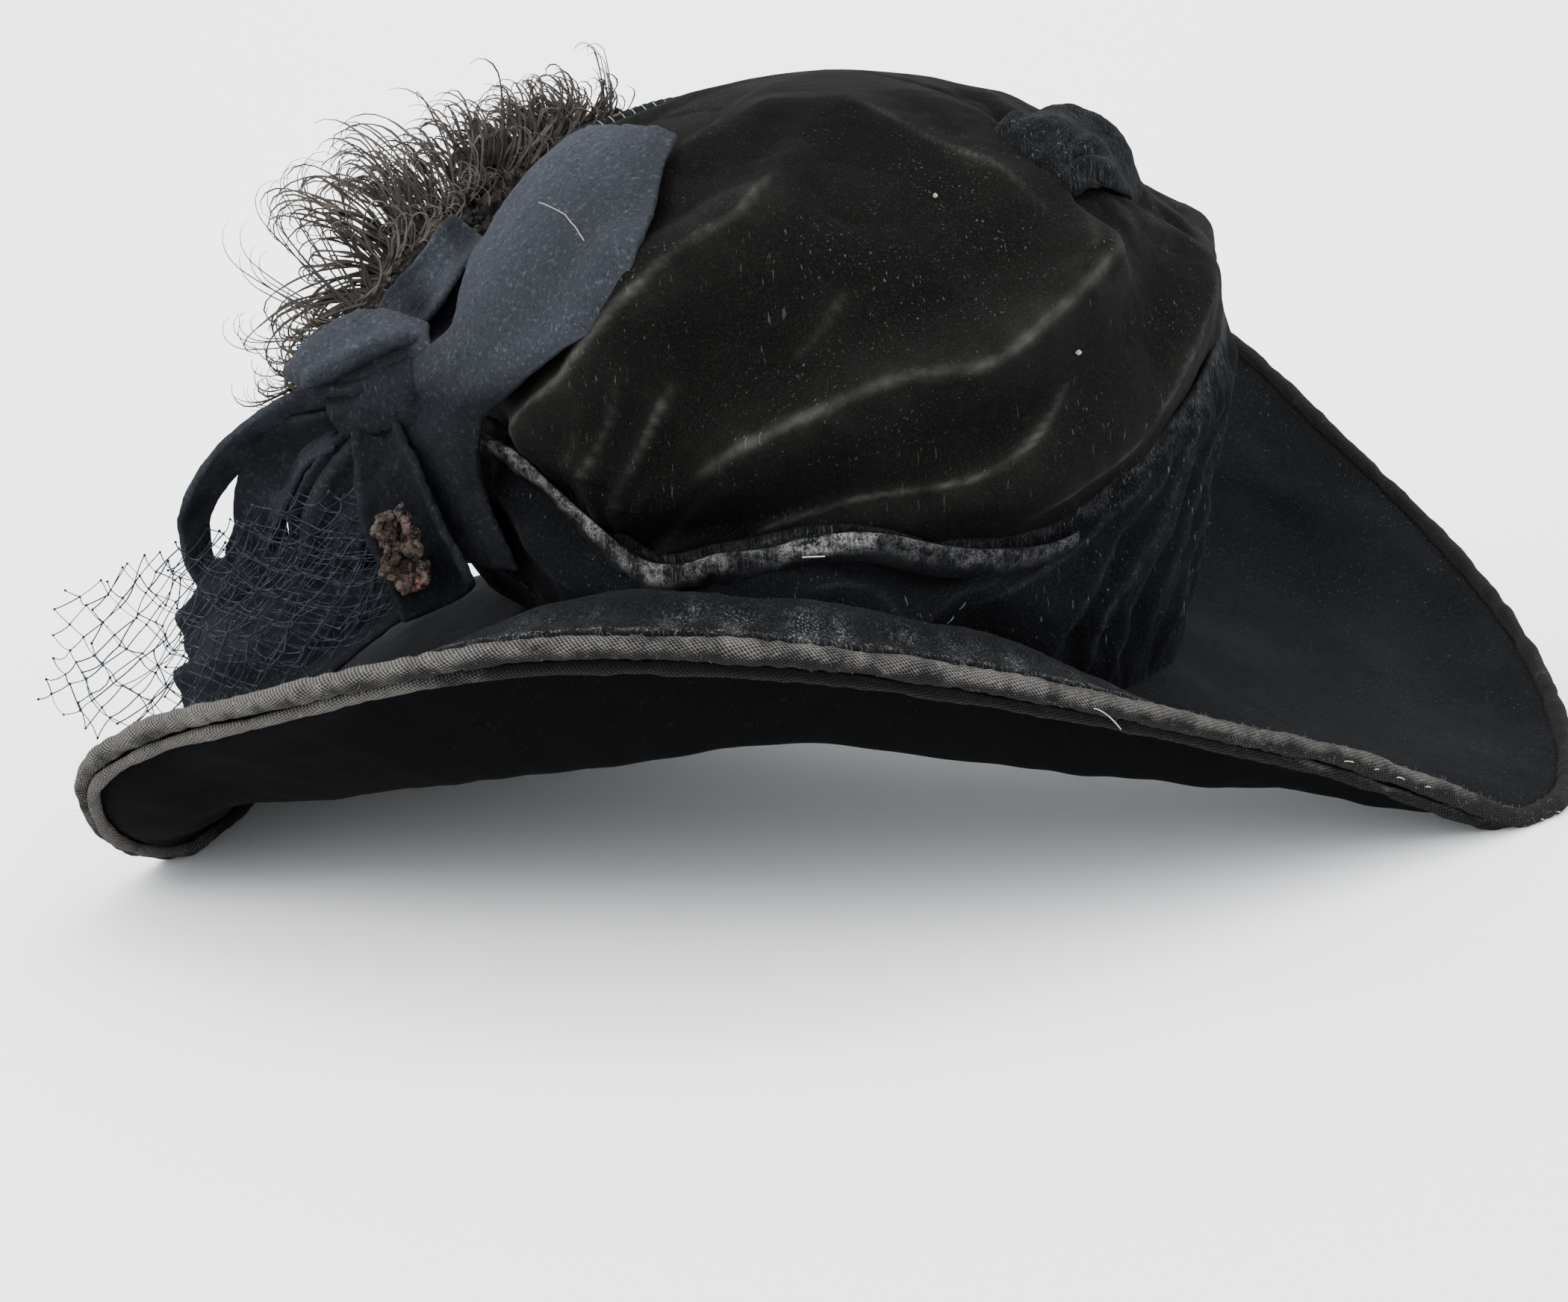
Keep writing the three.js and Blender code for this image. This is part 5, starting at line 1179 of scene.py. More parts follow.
def petal_parts(t, s):
    """How far in the petal's opened part a point is, and how far past the opening's lip."""
    return window(t, 0.22, 0.36, 0.86, 0.97), s - 0.4 + 0.72 * (t - 0.25)


def petal_fold(t, s):
    """The folded upper part, the opening that rises under it and the sunk lower part."""
    opened, past = petal_parts(t, s)
    lip = 3.4 * bump(past, -0.12, 0.11)
    return (lip - 3.6 * smooth(-0.03, 0.03, past) + 3.0 * bump(s, 0.47, 0.07)) * opened


def loop_fold(t, s):
    """A rolled left edge with a shallow valley beside it."""
    rolled = 2.6 * bump(s, -0.42, 0.07)
    return rolled - 1.8 * bump(s, -0.24, 0.1) + np.sin(14 * s + 4 * t)


def tuck_shape(t, s):
    """A puff of velvet with puckers that run together at its lower left corner."""
    x, y = s + 0.5, 1 - t
    turn = np.arctan2(y - 0.25, x + 0.12)
    far = np.hypot(y - 0.25, x + 0.12)
    puff = 12.5 * np.sin(np.pi * np.clip(x, 0, 1) ** 0.85) ** 0.8
    puff = puff * np.sin(np.pi * np.clip(t * 0.88 + 0.06, 0, 1)) ** 0.7 - 1.5
    pucker = 1.5 * np.sin(turn * 13) * bump(far, 0, 0.55) * smooth(0.02, 0.16, x)
    pucker += 0.8 * np.sin(t * 31 + 5 * x) * smooth(0.3, 0.05, x)
    return puff + pucker + 0.56 * np.sin(x * 17 + 4 * t) * smooth(0.15, 0.4, x), 0 * t


# ---- round strands, one mesh for many
def rings(path, u, v, radius, turn):
    """Rings of points round a path, one for each of its points, in the plane of u and v."""
    radius = np.broadcast_to(radius.reshape(-1, 1) if radius.ndim < 2 else radius, (len(path), len(turn)))
    way = u[:, None] * np.cos(turn)[None, :, None] + v[:, None] * np.sin(turn)[None, :, None]
    return path[:, None] + radius[..., None] * way


def tubes(paths, radii, sides, layers=None):
    """Points, faces and layers of round strands along paths, each an (n, 3) array with n radii."""
    layers = layers or {}
    all_points, all_faces, made, base = [], [], {key: [] for key in layers}, 0
    turn = 2 * math.pi * np.arange(sides) / sides
    for k, (path, radius) in enumerate(zip(paths, radii)):
        n = len(path)
        tangent = unit(np.gradient(path, axis=0))
        ref = np.array([0, 0, 1.0]) if abs(tangent[0, 2]) < 0.9 else np.array([1.0, 0, 0])
        u = np.empty((n, 3))
        last = unit(ref - tangent[0] * (ref @ tangent[0]))
        for i in range(n):
            last = unit(last - tangent[i] * (last @ tangent[i]))
            u[i] = last
        made_rings = rings(path, u, np.cross(tangent, u), np.asarray(radius, float), turn)
        all_points.append(made_rings.reshape(-1, 3))
        faces, _ = grid_faces(n, sides, False, True)
        all_faces += (faces[:, ::-1] + base).tolist() + end_caps(n, sides, base)
        for key, values in layers.items():
            made[key].append(np.repeat(np.broadcast_to(np.asarray(values[k], float), (n,)), sides))
        base += n * sides
    return np.concatenate(all_points), all_faces, {key: np.concatenate(v) for key, v in made.items()}


def strand_piece(name, paths, radii, look, slot, nodes, sides):
    build(name, *tubes(paths, radii, sides)[:2], look, slot, nodes)


# ---- plume: locks of curling barbs from the quill, with fine barbules
QUILL = [(190, 1.3, 0.585), (184, 1.19, 0.68), (176, 1.05, 0.75), (166, 0.92, 0.825), (154, 0.82, 0.89),
         (142, 0.74, 0.93)]
STEM = [(164, 0.78, 0.86), (154, 0.7, 0.9), (142, 0.63, 0.925), (128, 0.58, 0.935)]
LOCKS, BARBS, BARBULES = 150, 6, 26
# How the locks leave the quill: place along it, out, up, ahead along the quill, length in millimetres.
FAN = np.array([
    (0.0, 0.5, -0.9, -0.45, 42), (0.05, 0.8, -0.4, -0.45, 46), (0.1, 0.9, 0.25, -0.35, 50),
    (0.15, 0.8, 0.7, -0.1, 54), (0.24, 0.5, 0.7, 0.25, 54), (0.36, 0.34, 0.55, 0.6, 52),
    (0.5, 0.28, 0.5, 0.7, 46), (0.64, 0.25, 0.5, 0.7, 38), (0.78, 0.2, 0.5, 0.55, 30),
    (0.9, 0.2, 0.6, 0.3, 26), (1.0, 0.15, 0.5, 0.2, 22),
])


def curl(root, way, axis, length, bend, hook, points):
    """A path that leaves root along way and turns about axis, with a tighter hook at its end."""
    t = np.linspace(0, 1, points)
    turn = bend * t + hook * np.clip((t - 0.68) / 0.32, 0, 1) ** 1.6
    across = unit(np.cross(axis, way))
    step = way * np.cos(turn)[:, None] + across * np.sin(turn)[:, None]
    path = np.cumsum(step, 0) * (length / points)
    return root + path - path[0]


def plume_locks(rng):
    """Locks of matted barbs as paths, radii and how pale they are."""
    quill = beside_crown(QUILL)
    paths, radii, tips = [], [], []
    up, front = np.array([0, 0, 1.0]), np.array([0, -1.0, 0])
    t = np.linspace(0, 1, 17)
    for lock in range(LOCKS):
        inner = lock % 5 < 2
        at = (0.1 + 0.75 * rng.random()) if inner else 0.9 * rng.random() ** 1.15
        out, climb, ahead, length = (np.interp(at, FAN[:, 0], FAN[:, k]) for k in range(1, 5))
        near = curve_at(quill, np.clip([at, at - 0.01, at + 0.01], 0, 1))
        tangent = unit(near[2] - near[1])
        away = unit(near[0] * [1, 1, 0])
        if inner:
            way = tangent * 0.8 + front * rng.uniform(0.1, 0.5) - away * rng.uniform(0.1, 0.6)
            way = unit(way + up * rng.uniform(-0.5, 0.2))
            axis = unit(np.cross(way, up + away) + rng.normal(0, 0.4, 3))
            length = 36 * rng.uniform(0.7, 1.1)
        else:
            way = away * (out + rng.normal(0, 0.2)) + up * (climb + rng.normal(0, 0.2))
            way = unit(way + tangent * (ahead + rng.normal(0, 0.25)))
            axis = away * rng.uniform(0.3, 1.0) + up * rng.uniform(-0.6, 0.8) - tangent * 0.4
            axis = unit(np.cross(way, axis + rng.normal(0, 0.4, 3)))
            length = 1.08 * length * rng.uniform(0.6, 1.08)
        bend, hook, shade = rng.uniform(0.5, 1.7), rng.uniform(0.8, 4.2), rng.uniform(0, 1)
        for _ in range(BARBS):
            start = curve_at(quill, np.clip([at + rng.normal(0, 0.02)], 0, 1))[0] + rng.normal(0, 0.8, 3)
            w = unit(way + rng.normal(0, 0.1, 3))
            path = curl(start, w, unit(axis + rng.normal(0, 0.22, 3)), length * rng.uniform(0.68, 1.08),
                        bend * rng.uniform(0.7, 1.3), hook * rng.uniform(0.5, 1.4), len(t))
            wave = np.sin(t * rng.uniform(6, 13) + rng.uniform(0, 6.3))[:, None] * rng.normal(0, 0.9, 3)
            paths.append(path + wave * t[:, None])
            thick = rng.uniform(0.42, 0.75) * (1.1 - t**2) * (0.8 + 0.25 * np.sin(t * 23 + 9 * shade))
            radii.append(thick + 0.07)
            pale = 0.1 + 0.65 * shade * (0.4 + t) + 0.35 * t**3 + rng.normal(0, 0.15)
            tips.append(np.clip(pale, 0, 1))
    return paths, radii, tips


def lone_barbs(rng):
    """Single barbs that stand off the locks, as rows of place along the quill, way, length and turns."""
    quill = beside_crown(QUILL)
    paths = []
    rows = [(0.02, -0.9, -0.1, 0.32, 52, 0.5, 1.5), (0.05, -0.85, -0.1, 0.75, 56, 0.4, 2.4),
            (0.07, -0.62, -0.1, 1.0, 58, 0.3, 2.6), (0.12, -0.35, 0.0, 1.0, 52, 0.35, 3.0),
            (0.3, -0.1, 0, 1.0, 44, 0.4, 3.0), (0.5, -0.2, 0.1, 1.0, 42, 0.7, 3.6),
            (0.96, 0.1, 0.2, 1.0, 30, -0.4, -2.6), (0.02, -0.8, -0.2, -0.35, 46, 0.7, 2.4),
            (0.0, -0.5, -0.2, -0.8, 46, 0.7, 2.6)]
    for at, x, y, z, length, bend, hook in rows:
        for k in range(5):
            start = curve_at(quill, np.array([min(1, at + 0.006 * k)]))[0]
            way = unit(np.array([x, y, z]) + rng.normal(0, 0.05, 3))
            axis = unit(np.array([0.1, -1, 0.1]) + rng.normal(0, 0.1, 3))
            long = length * rng.uniform(0.8, 1.1)
            paths.append(curl(start, way, axis, long, -bend, -hook * rng.uniform(0.7, 1.2), 18))
    t = np.linspace(0, 1, 18)
    return paths, [0.26 * (1.1 - t**2) + 0.05] * len(paths), [0.3 + 0.4 * t] * len(paths)


def barbules(rng, paths, per, length):
    """Short fine side fibres that stand off the barbs on both sides."""
    points, faces, tips = [], [], []
    for path in paths:
        n = len(path)
        tangent = unit(np.gradient(path, axis=0))
        side = unit(np.cross(tangent, rng.normal(size=3)))
        at = rng.uniform(2.0, n - 1.001, per)
        k = at.astype(int)
        p = path[k] + (path[k + 1] - path[k]) * (at - k)[:, None]
        way = tangent[k] * rng.uniform(0.7, 1.3, (per, 1)) + side[k] * rng.choice([-1, 1], (per, 1))
        way = unit(way + rng.normal(0, 0.35, (per, 3)))
        long = (length * rng.uniform(0.5, 1.3, per) * (1.2 - at / n))[:, None]
        off = unit(np.cross(way, rng.normal(size=(per, 3)))) * 0.08
        cross = np.cross(way, off)
        quad = np.stack([p + off, p - off * 0.5 + cross * 0.9, p - off * 0.5 - cross * 0.9,
                         p + way * long + rng.normal(0, 0.15, (per, 3)) * long], 1)
        base = sum(map(len, points))
        points.append(quad.reshape(-1, 3))
        for i in range(per):
            b = base + 4 * i
            faces += [(b, b + 1, b + 3), (b + 1, b + 2, b + 3), (b + 2, b, b + 3)]
        tips += [0.3, 0.3, 0.3, 0.6] * per
    return np.concatenate(points), faces, np.array(tips)


def plume_piece():
    """Locks, single barbs, barbules and the quill, as one mesh."""
    rng = np.random.default_rng(7)
    quill = beside_crown(QUILL)
    t = np.linspace(0, 1, 60)
    paths, radii, tips = plume_locks(rng)
    more = lone_barbs(rng)
    paths, radii, tips = paths + more[0], radii + more[1], tips + more[2]
    side_points, side_faces, side_tips = barbules(rng, paths, BARBULES, 2.2)
    paths.append(curve_at(quill, t))
    radii.append(1.9 * (1.15 - 0.65 * t))
    tips.append(0 * t)
    points, faces, made = tubes(paths, radii, 3, {"tip": tips})
    faces += [tuple(i + len(points) for i in f) for f in side_faces]
    points = np.concatenate([points, side_points])
    tip = np.concatenate([made["tip"], side_tips])
    build("plume_barbs", points, faces, PLUME_LOOK, "feather", ("plume",), {"tip": tip})


def down_piece():
    """The close down along the quill, that no light comes through."""
    rows = [(190, 1.24, 0.58, 0.2, 0.2), (184, 1.11, 0.675, 0.34, 0.2), (176, 1.0, 0.74, 0.34, 0.2),
            (166, 0.89, 0.805, 0.3, 0.2), (154, 0.8, 0.87, 0.2, 0.15), (142, 0.73, 0.92, 0.1, 0.1)]
    middle = strip_surface(rows, ACROSS_BACK, felt_shape(17, 1.5, 3.0), 120, 40)
    middle += 1.6 * np.stack([waves(middle, 5, seed) for seed in (51, 52, 53)], -1)
    cloth("plume_down", middle, DOWN_LOOK, "feather", None, 0.0, 2.0, 1.4)


def stem_piece():
    """The wrapped roll at the plume's root, and the threads round it."""
    steps, sides, wraps_round = 150, 44, 18
    t = np.linspace(0, 1, steps)
    path = curve_at(beside_crown(STEM), t)
    tangent = unit(np.gradient(path, axis=0))
    u = unit(np.cross(tangent, [0, 0, 1.0]))
    v = np.cross(tangent, u)
    turn = 2 * math.pi * np.arange(sides) / sides
    T, A = t[:, None], turn[None, :]
    end = np.sqrt(np.clip(1 - (1 - np.minimum(T, 1 - T) / 0.05).clip(0, 1) ** 2, 0.02, 1))
    lap_at = (T * wraps_round + A / (2 * math.pi)) % 1
    lap = 0.35 * lap_at + 0.25 * bump(lap_at, 0, 0.12)
    ring = rings(path, u, v, (STEM_R + 0.1 + 0.4 * np.sin(T * 9) + lap) * end, turn)
    faces, _ = grid_faces(steps, sides, False, True)
    faces = face_out(ring - path[:, None], faces, np.zeros(3)).tolist() + end_caps(steps, sides)
    rubbed = 0.5 * (lap > 0.3)
    layers = {"worn": rubbed, "ridge": rubbed}
    build("stem_roll", ring.reshape(-1, 3), faces, STEM_LOOK, "stem_wrap", ("plume_stem",), layers)
    wraps = []
    for k in range(9):
        turn = np.linspace(-1.2, 2.6, 20)[:, None]
        row = 30 + 11 * k + np.linspace(0, 5, 20)
        low = np.floor(row).astype(int)
        mid = path[low] + (path[low + 1] - path[low]) * (row - low)[:, None]
        wraps.append(mid + (u[low] * np.cos(turn) + v[low] * np.sin(turn)) * (STEM_R + 0.45))
    strand_piece("stem_threads", wraps, [0.2] * len(wraps), PALE_LOOK, "stem_wrap", (), 5)


# ---- veil: a knotted net of thin thread
VEIL_PATH = [(206, 1.28, 0.27, 0.3), (200.5, 1.45, 0.195, 0.46), (195, 1.63, 0.125, 0.54),
             (190, 1.82, 0.06, 0.58), (186, 2.02, 0.02, 0.54), (183.5, 2.18, 0.02, 0.36)]
VEIL_RIPPLES = [(1.1, 0.7, 2.2), (2.3, -1.6, 1.2), (0.5, 2.4, 1.5)]
VEIL_ALONG, VEIL_ACROSS = 7, 4


def veil_at(a, b, out):
    """Points of the net's middle surface, a and b counted in the part's cells along and across."""
    shape = a.shape
    a, b = a.ravel(), b.ravel()
    t = np.clip(a / VEIL_ALONG, 0, 1)
    middle, tangent, side = along_curve(beside_crown([row[:3] for row in VEIL_PATH]), t, UP_THE_TAIL)
    face = unit(np.cross(tangent, side))
    width = even_table(np.array([row[3] for row in VEIL_PATH]), t) * BOW
    share = b / VEIL_ACROSS - 0.5
    ripple = sum(h * np.sin(a * p + b * q) for p, q, h in VEIL_RIPPLES)
    made = middle + side * (share * width)[:, None] + face * (ripple + out)[:, None]
    return made.reshape(*shape, 3)


def net_nodes(along, across, out, shift, seed):
    """The knots' places, a little uneven."""
    i, j = np.meshgrid(np.arange(along + 1), np.arange(across + 1), indexing="ij")
    jitter = np.random.default_rng(seed).normal(0, 0.055, (2, *i.shape))
    a = np.clip(VEIL_ALONG * i / along + jitter[0], 0, VEIL_ALONG)
    return veil_at(a, VEIL_ACROSS * j / across + shift + jitter[1] * 1.1, out)


def net_layer(along, across, out, shift, seed, reach):
    """Threads between the knots of a diamond net, sagging a little, and the knots. Reach is the
    share of its length that is there."""
    rng = np.random.default_rng(seed + 50)
    spots = net_nodes(along, across, out, shift, seed)
    spots = spots + 0.9 * np.stack([waves(spots, 24, seed + k) for k in range(3)], -1)
    threads, radii, knots = [], [], []
    t = np.linspace(0, 1, 4)[:, None]
    last = int(along * reach)
    for i in range(last + 1):
        for j in range(i % 2, across + 1, 2):
            knots.append(spots[i, j])
            for dj in (-1, 1):
                if i < last and 0 <= j + dj <= across:
                    p, q = spots[i, j], spots[i + 1, j + dj]
                    sag = rng.normal(0, 0.35, 3) + np.array([0, 0, -0.35])
                    threads.append(p + (q - p) * t + sag * 4 * t * (1 - t))
                    radii.append(0.19 * rng.uniform(0.8, 1.25))
    for p in knots:
        threads.append(p + unit(rng.normal(size=3)) * 0.85 * (t - 0.5))
        radii.append(0.46 * np.array([0.5, 1.1, 1.1, 0.5]))
    return threads, radii


def veil_piece():
    """Layers of the gathered net: close and narrow by the bow, wide and open at the free end."""
    threads, radii = [], []
    for layer in (
        (20, 10, 0.0, 0.0, 61, 1.0), (19, 9, 2.2, 0.14, 71, 0.94), (21, 10, 4.2, -0.12, 81, 0.74),
        (22, 11, -1.8, 0.1, 91, 0.62), (24, 11, 5.6, 0.05, 101, 0.5), (22, 12, 3.2, -0.2, 111, 0.42),
    ):
        made = net_layer(*layer)
        threads += made[0]
        radii += made[1]
    strand_piece("veil_net", threads, radii, NET_LOOK, "net", ("veil",), 4)


# ---- staple, stitches and loose threads
def staple_piece():
    """The staple's bar and the ends of its legs, where the solid stands."""
    low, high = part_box("staple")
    middle = (np.array(low) + np.array(high)) / 2 * 1000 - MIDDLE
    wide = (high[0] - low[0]) * 1000 / 2
    n = 16
    t = np.linspace(0, 1, n)
    x = np.concatenate([[-wide], np.linspace(-wide, wide, n), [wide]])
    legs = np.concatenate([[1.6], 0.0 * t, [1.6]])
    bent = 0.1 * np.concatenate([[0], np.sin(t * 6), [0]])
    path = np.stack([middle[0] + x, middle[1] - 0.7 + legs + bent, middle[2] + 0 * x], -1)
    smoothed = [path[0]]
    for k in range(len(path) - 1):
        for s in (0.25, 0.75):
            smoothed.append(path[k] * (1 - s) + path[k + 1] * s)
    smoothed.append(path[-1])
    path = np.array(smoothed)
    strand_piece("staple_bar", [path], [0.33], WIRE_LOOK, "staple_wire", ("staple",), 10)


def dense_at(line, t, out):
    """Points on the band along a line of azimuth and share."""
    az, share = np.array(line, float).T
    return band_at(even_table(az, t), even_table(share, t), out)


def stitch_rows(rows, length, gap, out, lift=0.35):
    """Short stitches on the band along lines of azimuth and share."""
    paths = []
    t = np.linspace(0, 1, 400)
    for line in rows:
        p = dense_at(line, t, out)
        at = np.concatenate([[0], np.cumsum(np.linalg.norm(np.diff(p, axis=0), axis=1))])
        start = gap / 2
        while start + length < at[-1]:
            arch = lift * np.sin(np.linspace(0, math.pi, 7)) - 0.15
            paths.append(dense_at(line, np.interp(np.linspace(start, start + length, 7), at, t), out + arch))
            start += length + gap
    return paths


def thread_pieces():
    """Stitches of the band beside the bow and in its folds."""
    paths = stitch_rows([[(195, 0.8), (198, 0.62), (204, 0.42), (209, 0.2), (211, 0.06)],
                         [(192, 0.75), (195, 0.55), (200, 0.35), (205, 0.12)]], 3.0, 2.0, 2.2)
    paths += stitch_rows([[(276, 0.62), (277, 0.45), (278, 0.3)], [(285, 0.62), (282, 0.46), (279.5, 0.32)]],
                         2.6, 2.6, 2.6, 0.5)
    strand_piece("band_stitches", paths, [0.2] * len(paths), STITCH_LOOK, "velvet_band", (), 5)


# Azimuth, length and droop of each loose thread of the cord.
LOOSE_THREADS = [(322, 11, 5), (325.5, 8, 3), (328, 10, 6), (331, 6, 3), (292, 8, 7), (343, 9, 5),
                 (345, 7, 4)]


def cord_threads():
    """The fuzz of the worn cord and its loose threads."""
    rng = np.random.default_rng(19)
    count = 1000
    az = rng.uniform(195, 345, count)
    _, cord, _, _ = brim_edge(az)
    turn = rng.uniform(-0.9, 2.7, count)
    start = polar(az, cord[:, 0] + EDGE_R * np.cos(turn), cord[:, 1] + EDGE_R * np.sin(turn))
    out = unit(polar(az, np.cos(turn), np.sin(turn)) + rng.normal(0, 0.9, (count, 3)))
    paths = []
    t = np.linspace(0, 1, 4)[:, None]
    for k in range(count):
        long = rng.uniform(0.3, 1.0) * (2.0 if rng.random() < 0.05 else 1)
        paths.append(start[k] + out[k] * (long * t) + rng.normal(0, 0.5, 3) * long * t * t)
    strand_piece("cord_fuzz", paths, [0.045] * count, FUZZ_LOOK, "cord_worn", (), 3)
    loose = []
    t = np.linspace(0, 1, 22)[:, None]
    for at, long, down in LOOSE_THREADS:
        _, cord, _, _ = brim_edge(np.array([float(at)]))
        p = polar(np.array([float(at)]), cord[:, 0] + EDGE_R * 0.9, cord[:, 1] - 0.8)[0]
        away = polar(float(at), 1.0, 0.0)
        side = np.array([-away[1], away[0], 0])
        off = 0.7 * np.sin(t * 3.1) + 0.2 + 0.36 * np.sin(t * 5 + at) * t
        loose.append(p + side * (long * (t - 0.2)) + away * off - np.array([0, 0, 1]) * (down * t**1.5))
    strand_piece("cord_loose_threads", loose, [0.17] * len(loose), PALE_LOOK, "cord_worn", (), 6)


def leaf_piece():
    """The bow's big leaf, paler towards its tip."""
    t, s = grid_shares(150, 56)
    pale = smooth(0.62, 0.42, t + 0.15 * s) * (0.75 + 0.25 * np.cos(9 * t + 5 * s)) + 0.05
    leaf = patch_surface(LEAF_LEFT, LEAF_RIGHT, 1.0, felt_shape(1, 0.7, 0.6, leaf_fold), *t.shape)
    cloth("leaf_felt", leaf, FELT_LOOK, "felt", "felt_leaf", pale)


def felt_strip(name, node, rows, sideways, seed, fold, steps, across, pale, turned=0):
    """A strip of felt, paler by the share pale, turned about its line in degrees."""
    middle = strip_surface(rows, sideways, felt_shape(seed, 0.8, 0.6, fold), steps, across, turned)
    worn = pale * (1 + 0.6 * waves(middle, 18, seed))
    cloth(name, middle, FELT_LOOK, "felt", node, worn.clip(0, 1))


def petal_piece():
    """The pointed petal with its dark opening."""
    t, s = grid_shares(100, 54)
    opened, past = petal_parts(t, s)
    inside = smooth(-0.03, 0.03, past) * opened
    pale = (0.85 * (1 - inside) + 0.25 * inside * smooth(0.03, 0.2, past)) * smooth(0.62, 0.3, s)
    petal = between(PETAL_UPPER, PETAL_LOWER, 3.0, felt_shape(3, 0.4, 0.4, petal_fold), *t.shape)
    cloth("petal_felt", petal, FELT_LOOK, "felt", "felt_petal", pale.clip(0, 1))


def moth_piece():
    """The moth-eaten place low on the rolled tail."""
    rows = [(208.5, 1.315, 0.31, 0.06, 0.5), (209.5, 1.31, 0.275, 0.12, 0.55),
            (210.5, 1.305, 0.235, 0.1, 0.55), (211, 1.3, 0.2, 0.12, 0.55),
            (211.5, 1.295, 0.17, 0.06, 0.5)]
    moth = strip_surface(rows, ACROSS_BACK, felt_shape(12, 1.0, 2.5), 80, 34)
    moth[..., 1] -= 1.2 * np.abs(waves(moth, 7, 13)) + 0.8 * np.abs(waves(moth, 3.2, 14))
    cloth("moth_patch", moth, MOTH_LOOK, "felt", None, 0.0, 2.2, 0.5)


def hair_and_specks():
    """A pale hair on the leaf and two specks on the crown."""
    line = np.array([(221, 0.739), (224, 0.732), (228, 0.725), (231, 0.711), (235, 0.683)])
    row = np.linspace(0, 4, 40)
    az, rise = (np.interp(row, np.arange(5), line[:, k]) for k in (0, 1))
    hair = crown_at(az, crown_share(rise), 13.6) + np.array([0, 0, 1.0]) * np.sin(row * 1.6)[:, None] * 0.6
    paths = [hair]
    for az, rise in ((287, 0.81), (300, 0.549)):
        az, t = np.array([[az - 0.35, az, az + 0.35]]).T, crown_share(np.array([[rise, rise + 0.004]]))
        paths.append(crown_at(az, t, 0.6, crown_relief(az, t)[0])[:, 0])
    radii = [0.13, [0.5, 0.8, 0.4], [0.5, 0.85, 0.45]]
    strand_piece("hair_and_specks", paths, radii, PALE_LOOK, "felt", (), 6)


crown_piece()
band_piece()
hem_piece()
brim_piece()
cord_piece("edge_cord", EDGE_R, 18, edge_middle, CORD_LOOK, "cord_worn", edge_wear_and_highlight, 91)
cord_piece("under_cord", UNDER_R, 12, under_middle, UNDER_LOOK, "cord_dark", under_worn, 95)
cord_threads()
leaf_piece()
felt_strip("strap_felt", "felt_strap", STRAP, ACROSS_BACK, 2, None, 90, 34, 0.65)
petal_piece()
felt_strip("neck_felt", None, NECK, ACROSS_BACK, 14, None, 60, 26, 0.05)
felt_strip("knot_felt", None, KNOT, UP_THE_PETAL, 9, None, 90, 40, 0.1)
felt_strip("ring_felt", "felt_ring_loop", RING, AWAY_FROM_BACK, 4, ring_fold, 170, 22, 0.4, 36)
felt_strip("back_leg_felt", None, BACK_LEG, ACROSS_BACK, 10, None, 100, 26, 0.12)
felt_strip("second_felt", "felt_second_loop", SECOND, ACROSS_BACK, 5, loop_fold, 120, 40, 0.16)
felt_strip("rolled_felt", "felt_rolled_tail", ROLLED, ACROSS_BACK, 6, None, 120, 30, 0.04)
felt_strip("tail_felt", "felt_broad_tail", TAIL, UP_THE_TAIL, 8, tail_fold, 120, 44, 0.16)
moth_piece()
tuck = patch_surface(TUCK_LEFT, TUCK_RIGHT, 0, tuck_shape, 120, 66)
cloth("tuck_velvet", tuck, BAND_LOOK, "velvet_band", "crown_tuck", 0.12, 2.4, 0.12)
hair_and_specks()
plume_piece()
down_piece()
stem_piece()
veil_piece()
staple_piece()
thread_pieces()


# ---- floor, lights and camera
FLOOR_HALF, FLOOR_BEND_AT, FLOOR_BEND, FLOOR_TOP = 9.0, 1.5, 1.5, 7.0


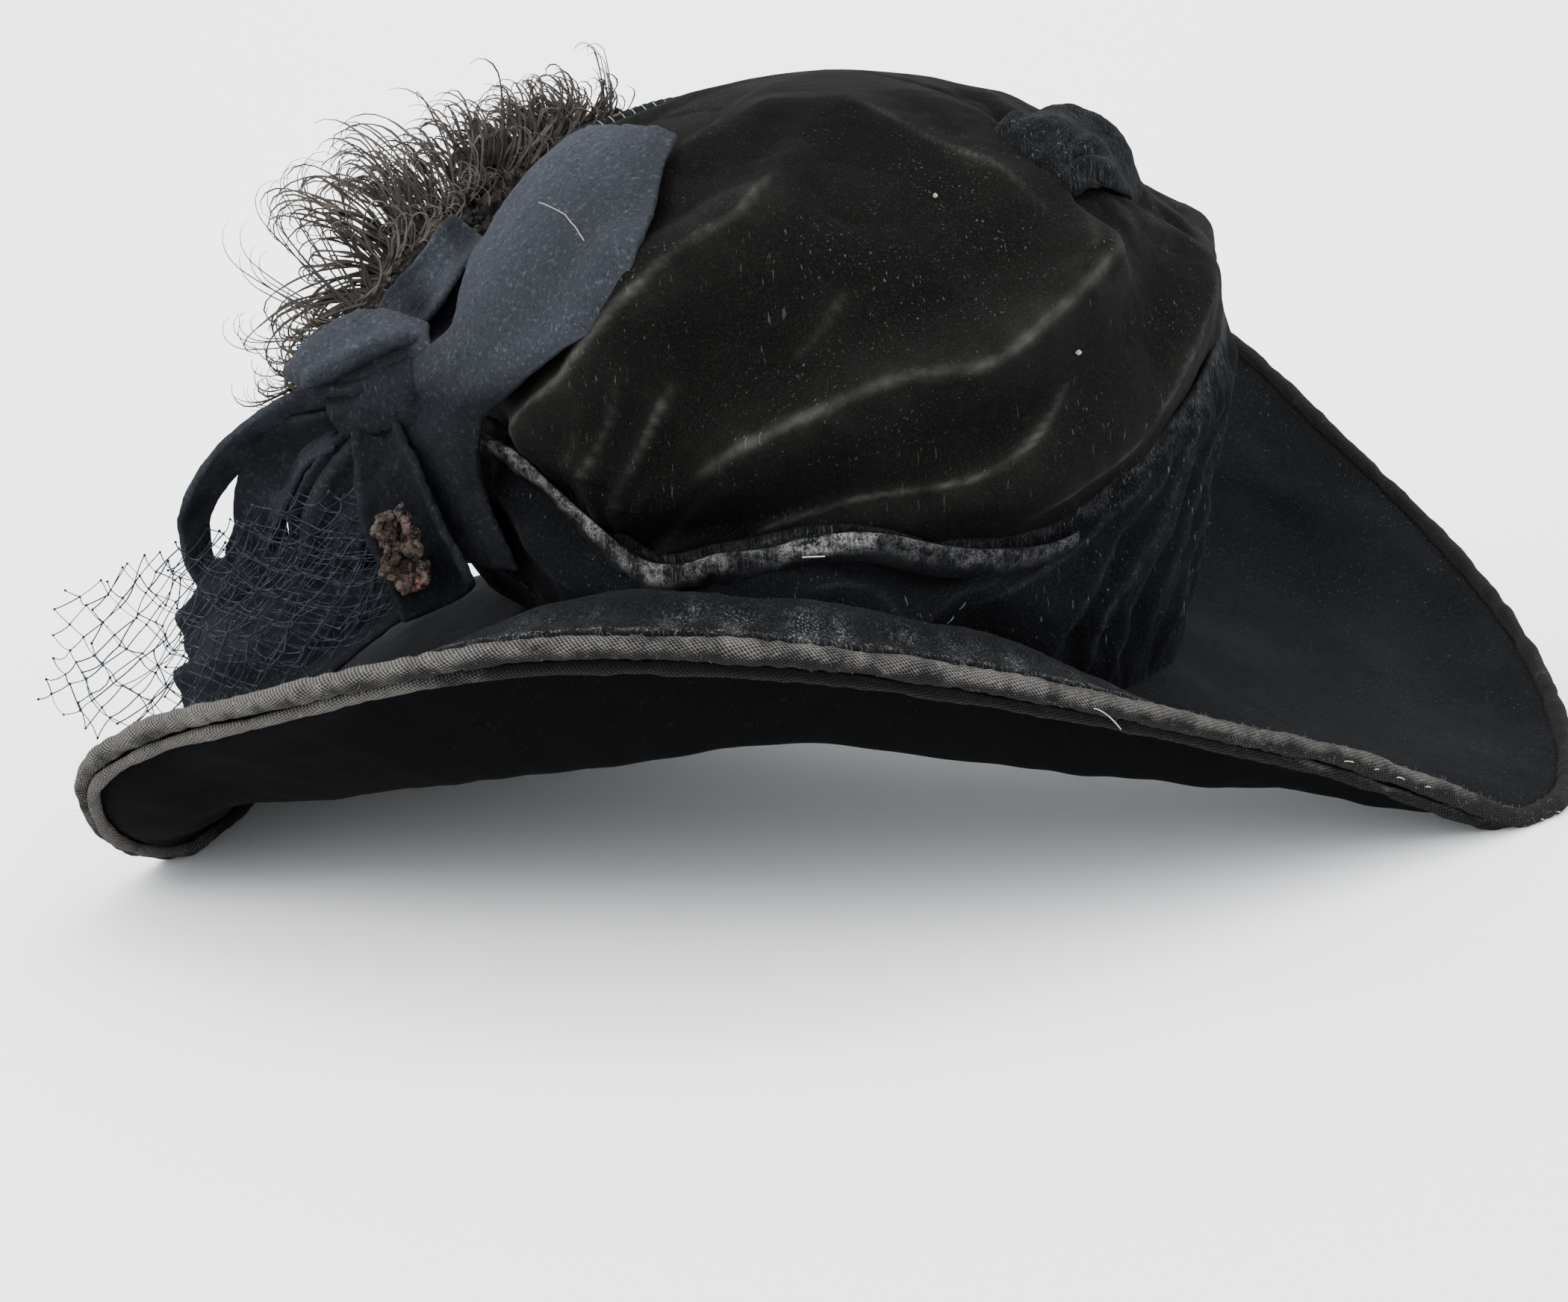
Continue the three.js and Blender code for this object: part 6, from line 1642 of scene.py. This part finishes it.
def floor():
    """A pale sheet that lies under the hat and bends up behind it."""
    look = Look("pale_floor", (0.9, 0.905, 0.91), 0.85)
    look.mix(look.times(look.noise(1.5, 3.0), 0.25), (0.92, 0.925, 0.93)).grain(0.04, 300.0, 3.0)
    profile = [(-FLOOR_HALF, 0.0), (FLOOR_BEND_AT, 0.0)]
    for a in np.linspace(0.1, math.pi / 2, 15):
        profile.append((FLOOR_BEND_AT + FLOOR_BEND * math.sin(a), FLOOR_BEND * (1 - math.cos(a))))
    profile.append((FLOOR_BEND_AT + FLOOR_BEND, FLOOR_TOP))
    points = [(x, y, z) for y, z in profile for x in (-FLOOR_HALF, FLOOR_HALF)]
    faces = [(2 * k, 2 * k + 1, 2 * k + 3, 2 * k + 2) for k in range(len(profile) - 1)]
    add("floor", smooth_mesh("floor", points, faces, look.done()))


floor()
world = bpy.data.worlds.new("studio")
bpy.context.scene.world = world
world.use_nodes = True
background = world.node_tree.nodes["Background"]
background.inputs["Color"].default_value = (0.93, 0.96, 1.0, 1)
background.inputs["Strength"].default_value = 2.6


def area_light(name, at, to, size, power, color=(1, 1, 1)):
    """A rectangular lamp at a place that points to another."""
    data = bpy.data.lights.new(name, "AREA")
    data.shape = "RECTANGLE"
    data.size, data.size_y = size
    data.energy = power
    data.color = color
    lamp = add(name, data)
    lamp.location = at
    way = Vector(to) - Vector(at)
    lamp.rotation_euler = way.to_track_quat("-Z", "Y").to_euler()


area_light("key", (-1.1, -1.2, 1.7), (0, 0, 0.1), (1.1, 0.9), 36, (1, 0.985, 0.96))
area_light("fill", (1.5, -1.2, 1.0), (0, 0, 0.1), (1.2, 1.0), 4, (0.96, 0.98, 1))
area_light("top", (0.0, -0.2, 2.2), (0, 0, 0.1), (1.6, 1.4), 12)
area_light("backdrop", (0, 0.9, 2.6), (0, 2.9, 0.6), (4.0, 0.8), 130)

CAMERA_AT, CAMERA_TILT, CAMERA_ROLL, CAMERA_LENS = (-22.0, -824.75, 256.92), 14, 3, 60
tilt, roll = math.radians(CAMERA_TILT), math.radians(CAMERA_ROLL)
forward = np.array([0, math.cos(tilt), -math.sin(tilt)])
level = np.array([1.0, 0, 0])
above = np.cross(level, forward)
right = level * math.cos(roll) - above * math.sin(roll)
up = above * math.cos(roll) + level * math.sin(roll)
lens = bpy.data.cameras.new("camera")
lens.sensor_width = 36
lens.lens = CAMERA_LENS
lens.clip_start = 0.05
camera = add("camera", lens)
matrix = np.eye(4)
matrix[:3, 0], matrix[:3, 1], matrix[:3, 2] = right, up, -forward
matrix[:3, 3] = (np.array(CAMERA_AT) + MIDDLE) / 1000
camera.matrix_world = Matrix(matrix.tolist())
bpy.context.scene.camera = camera
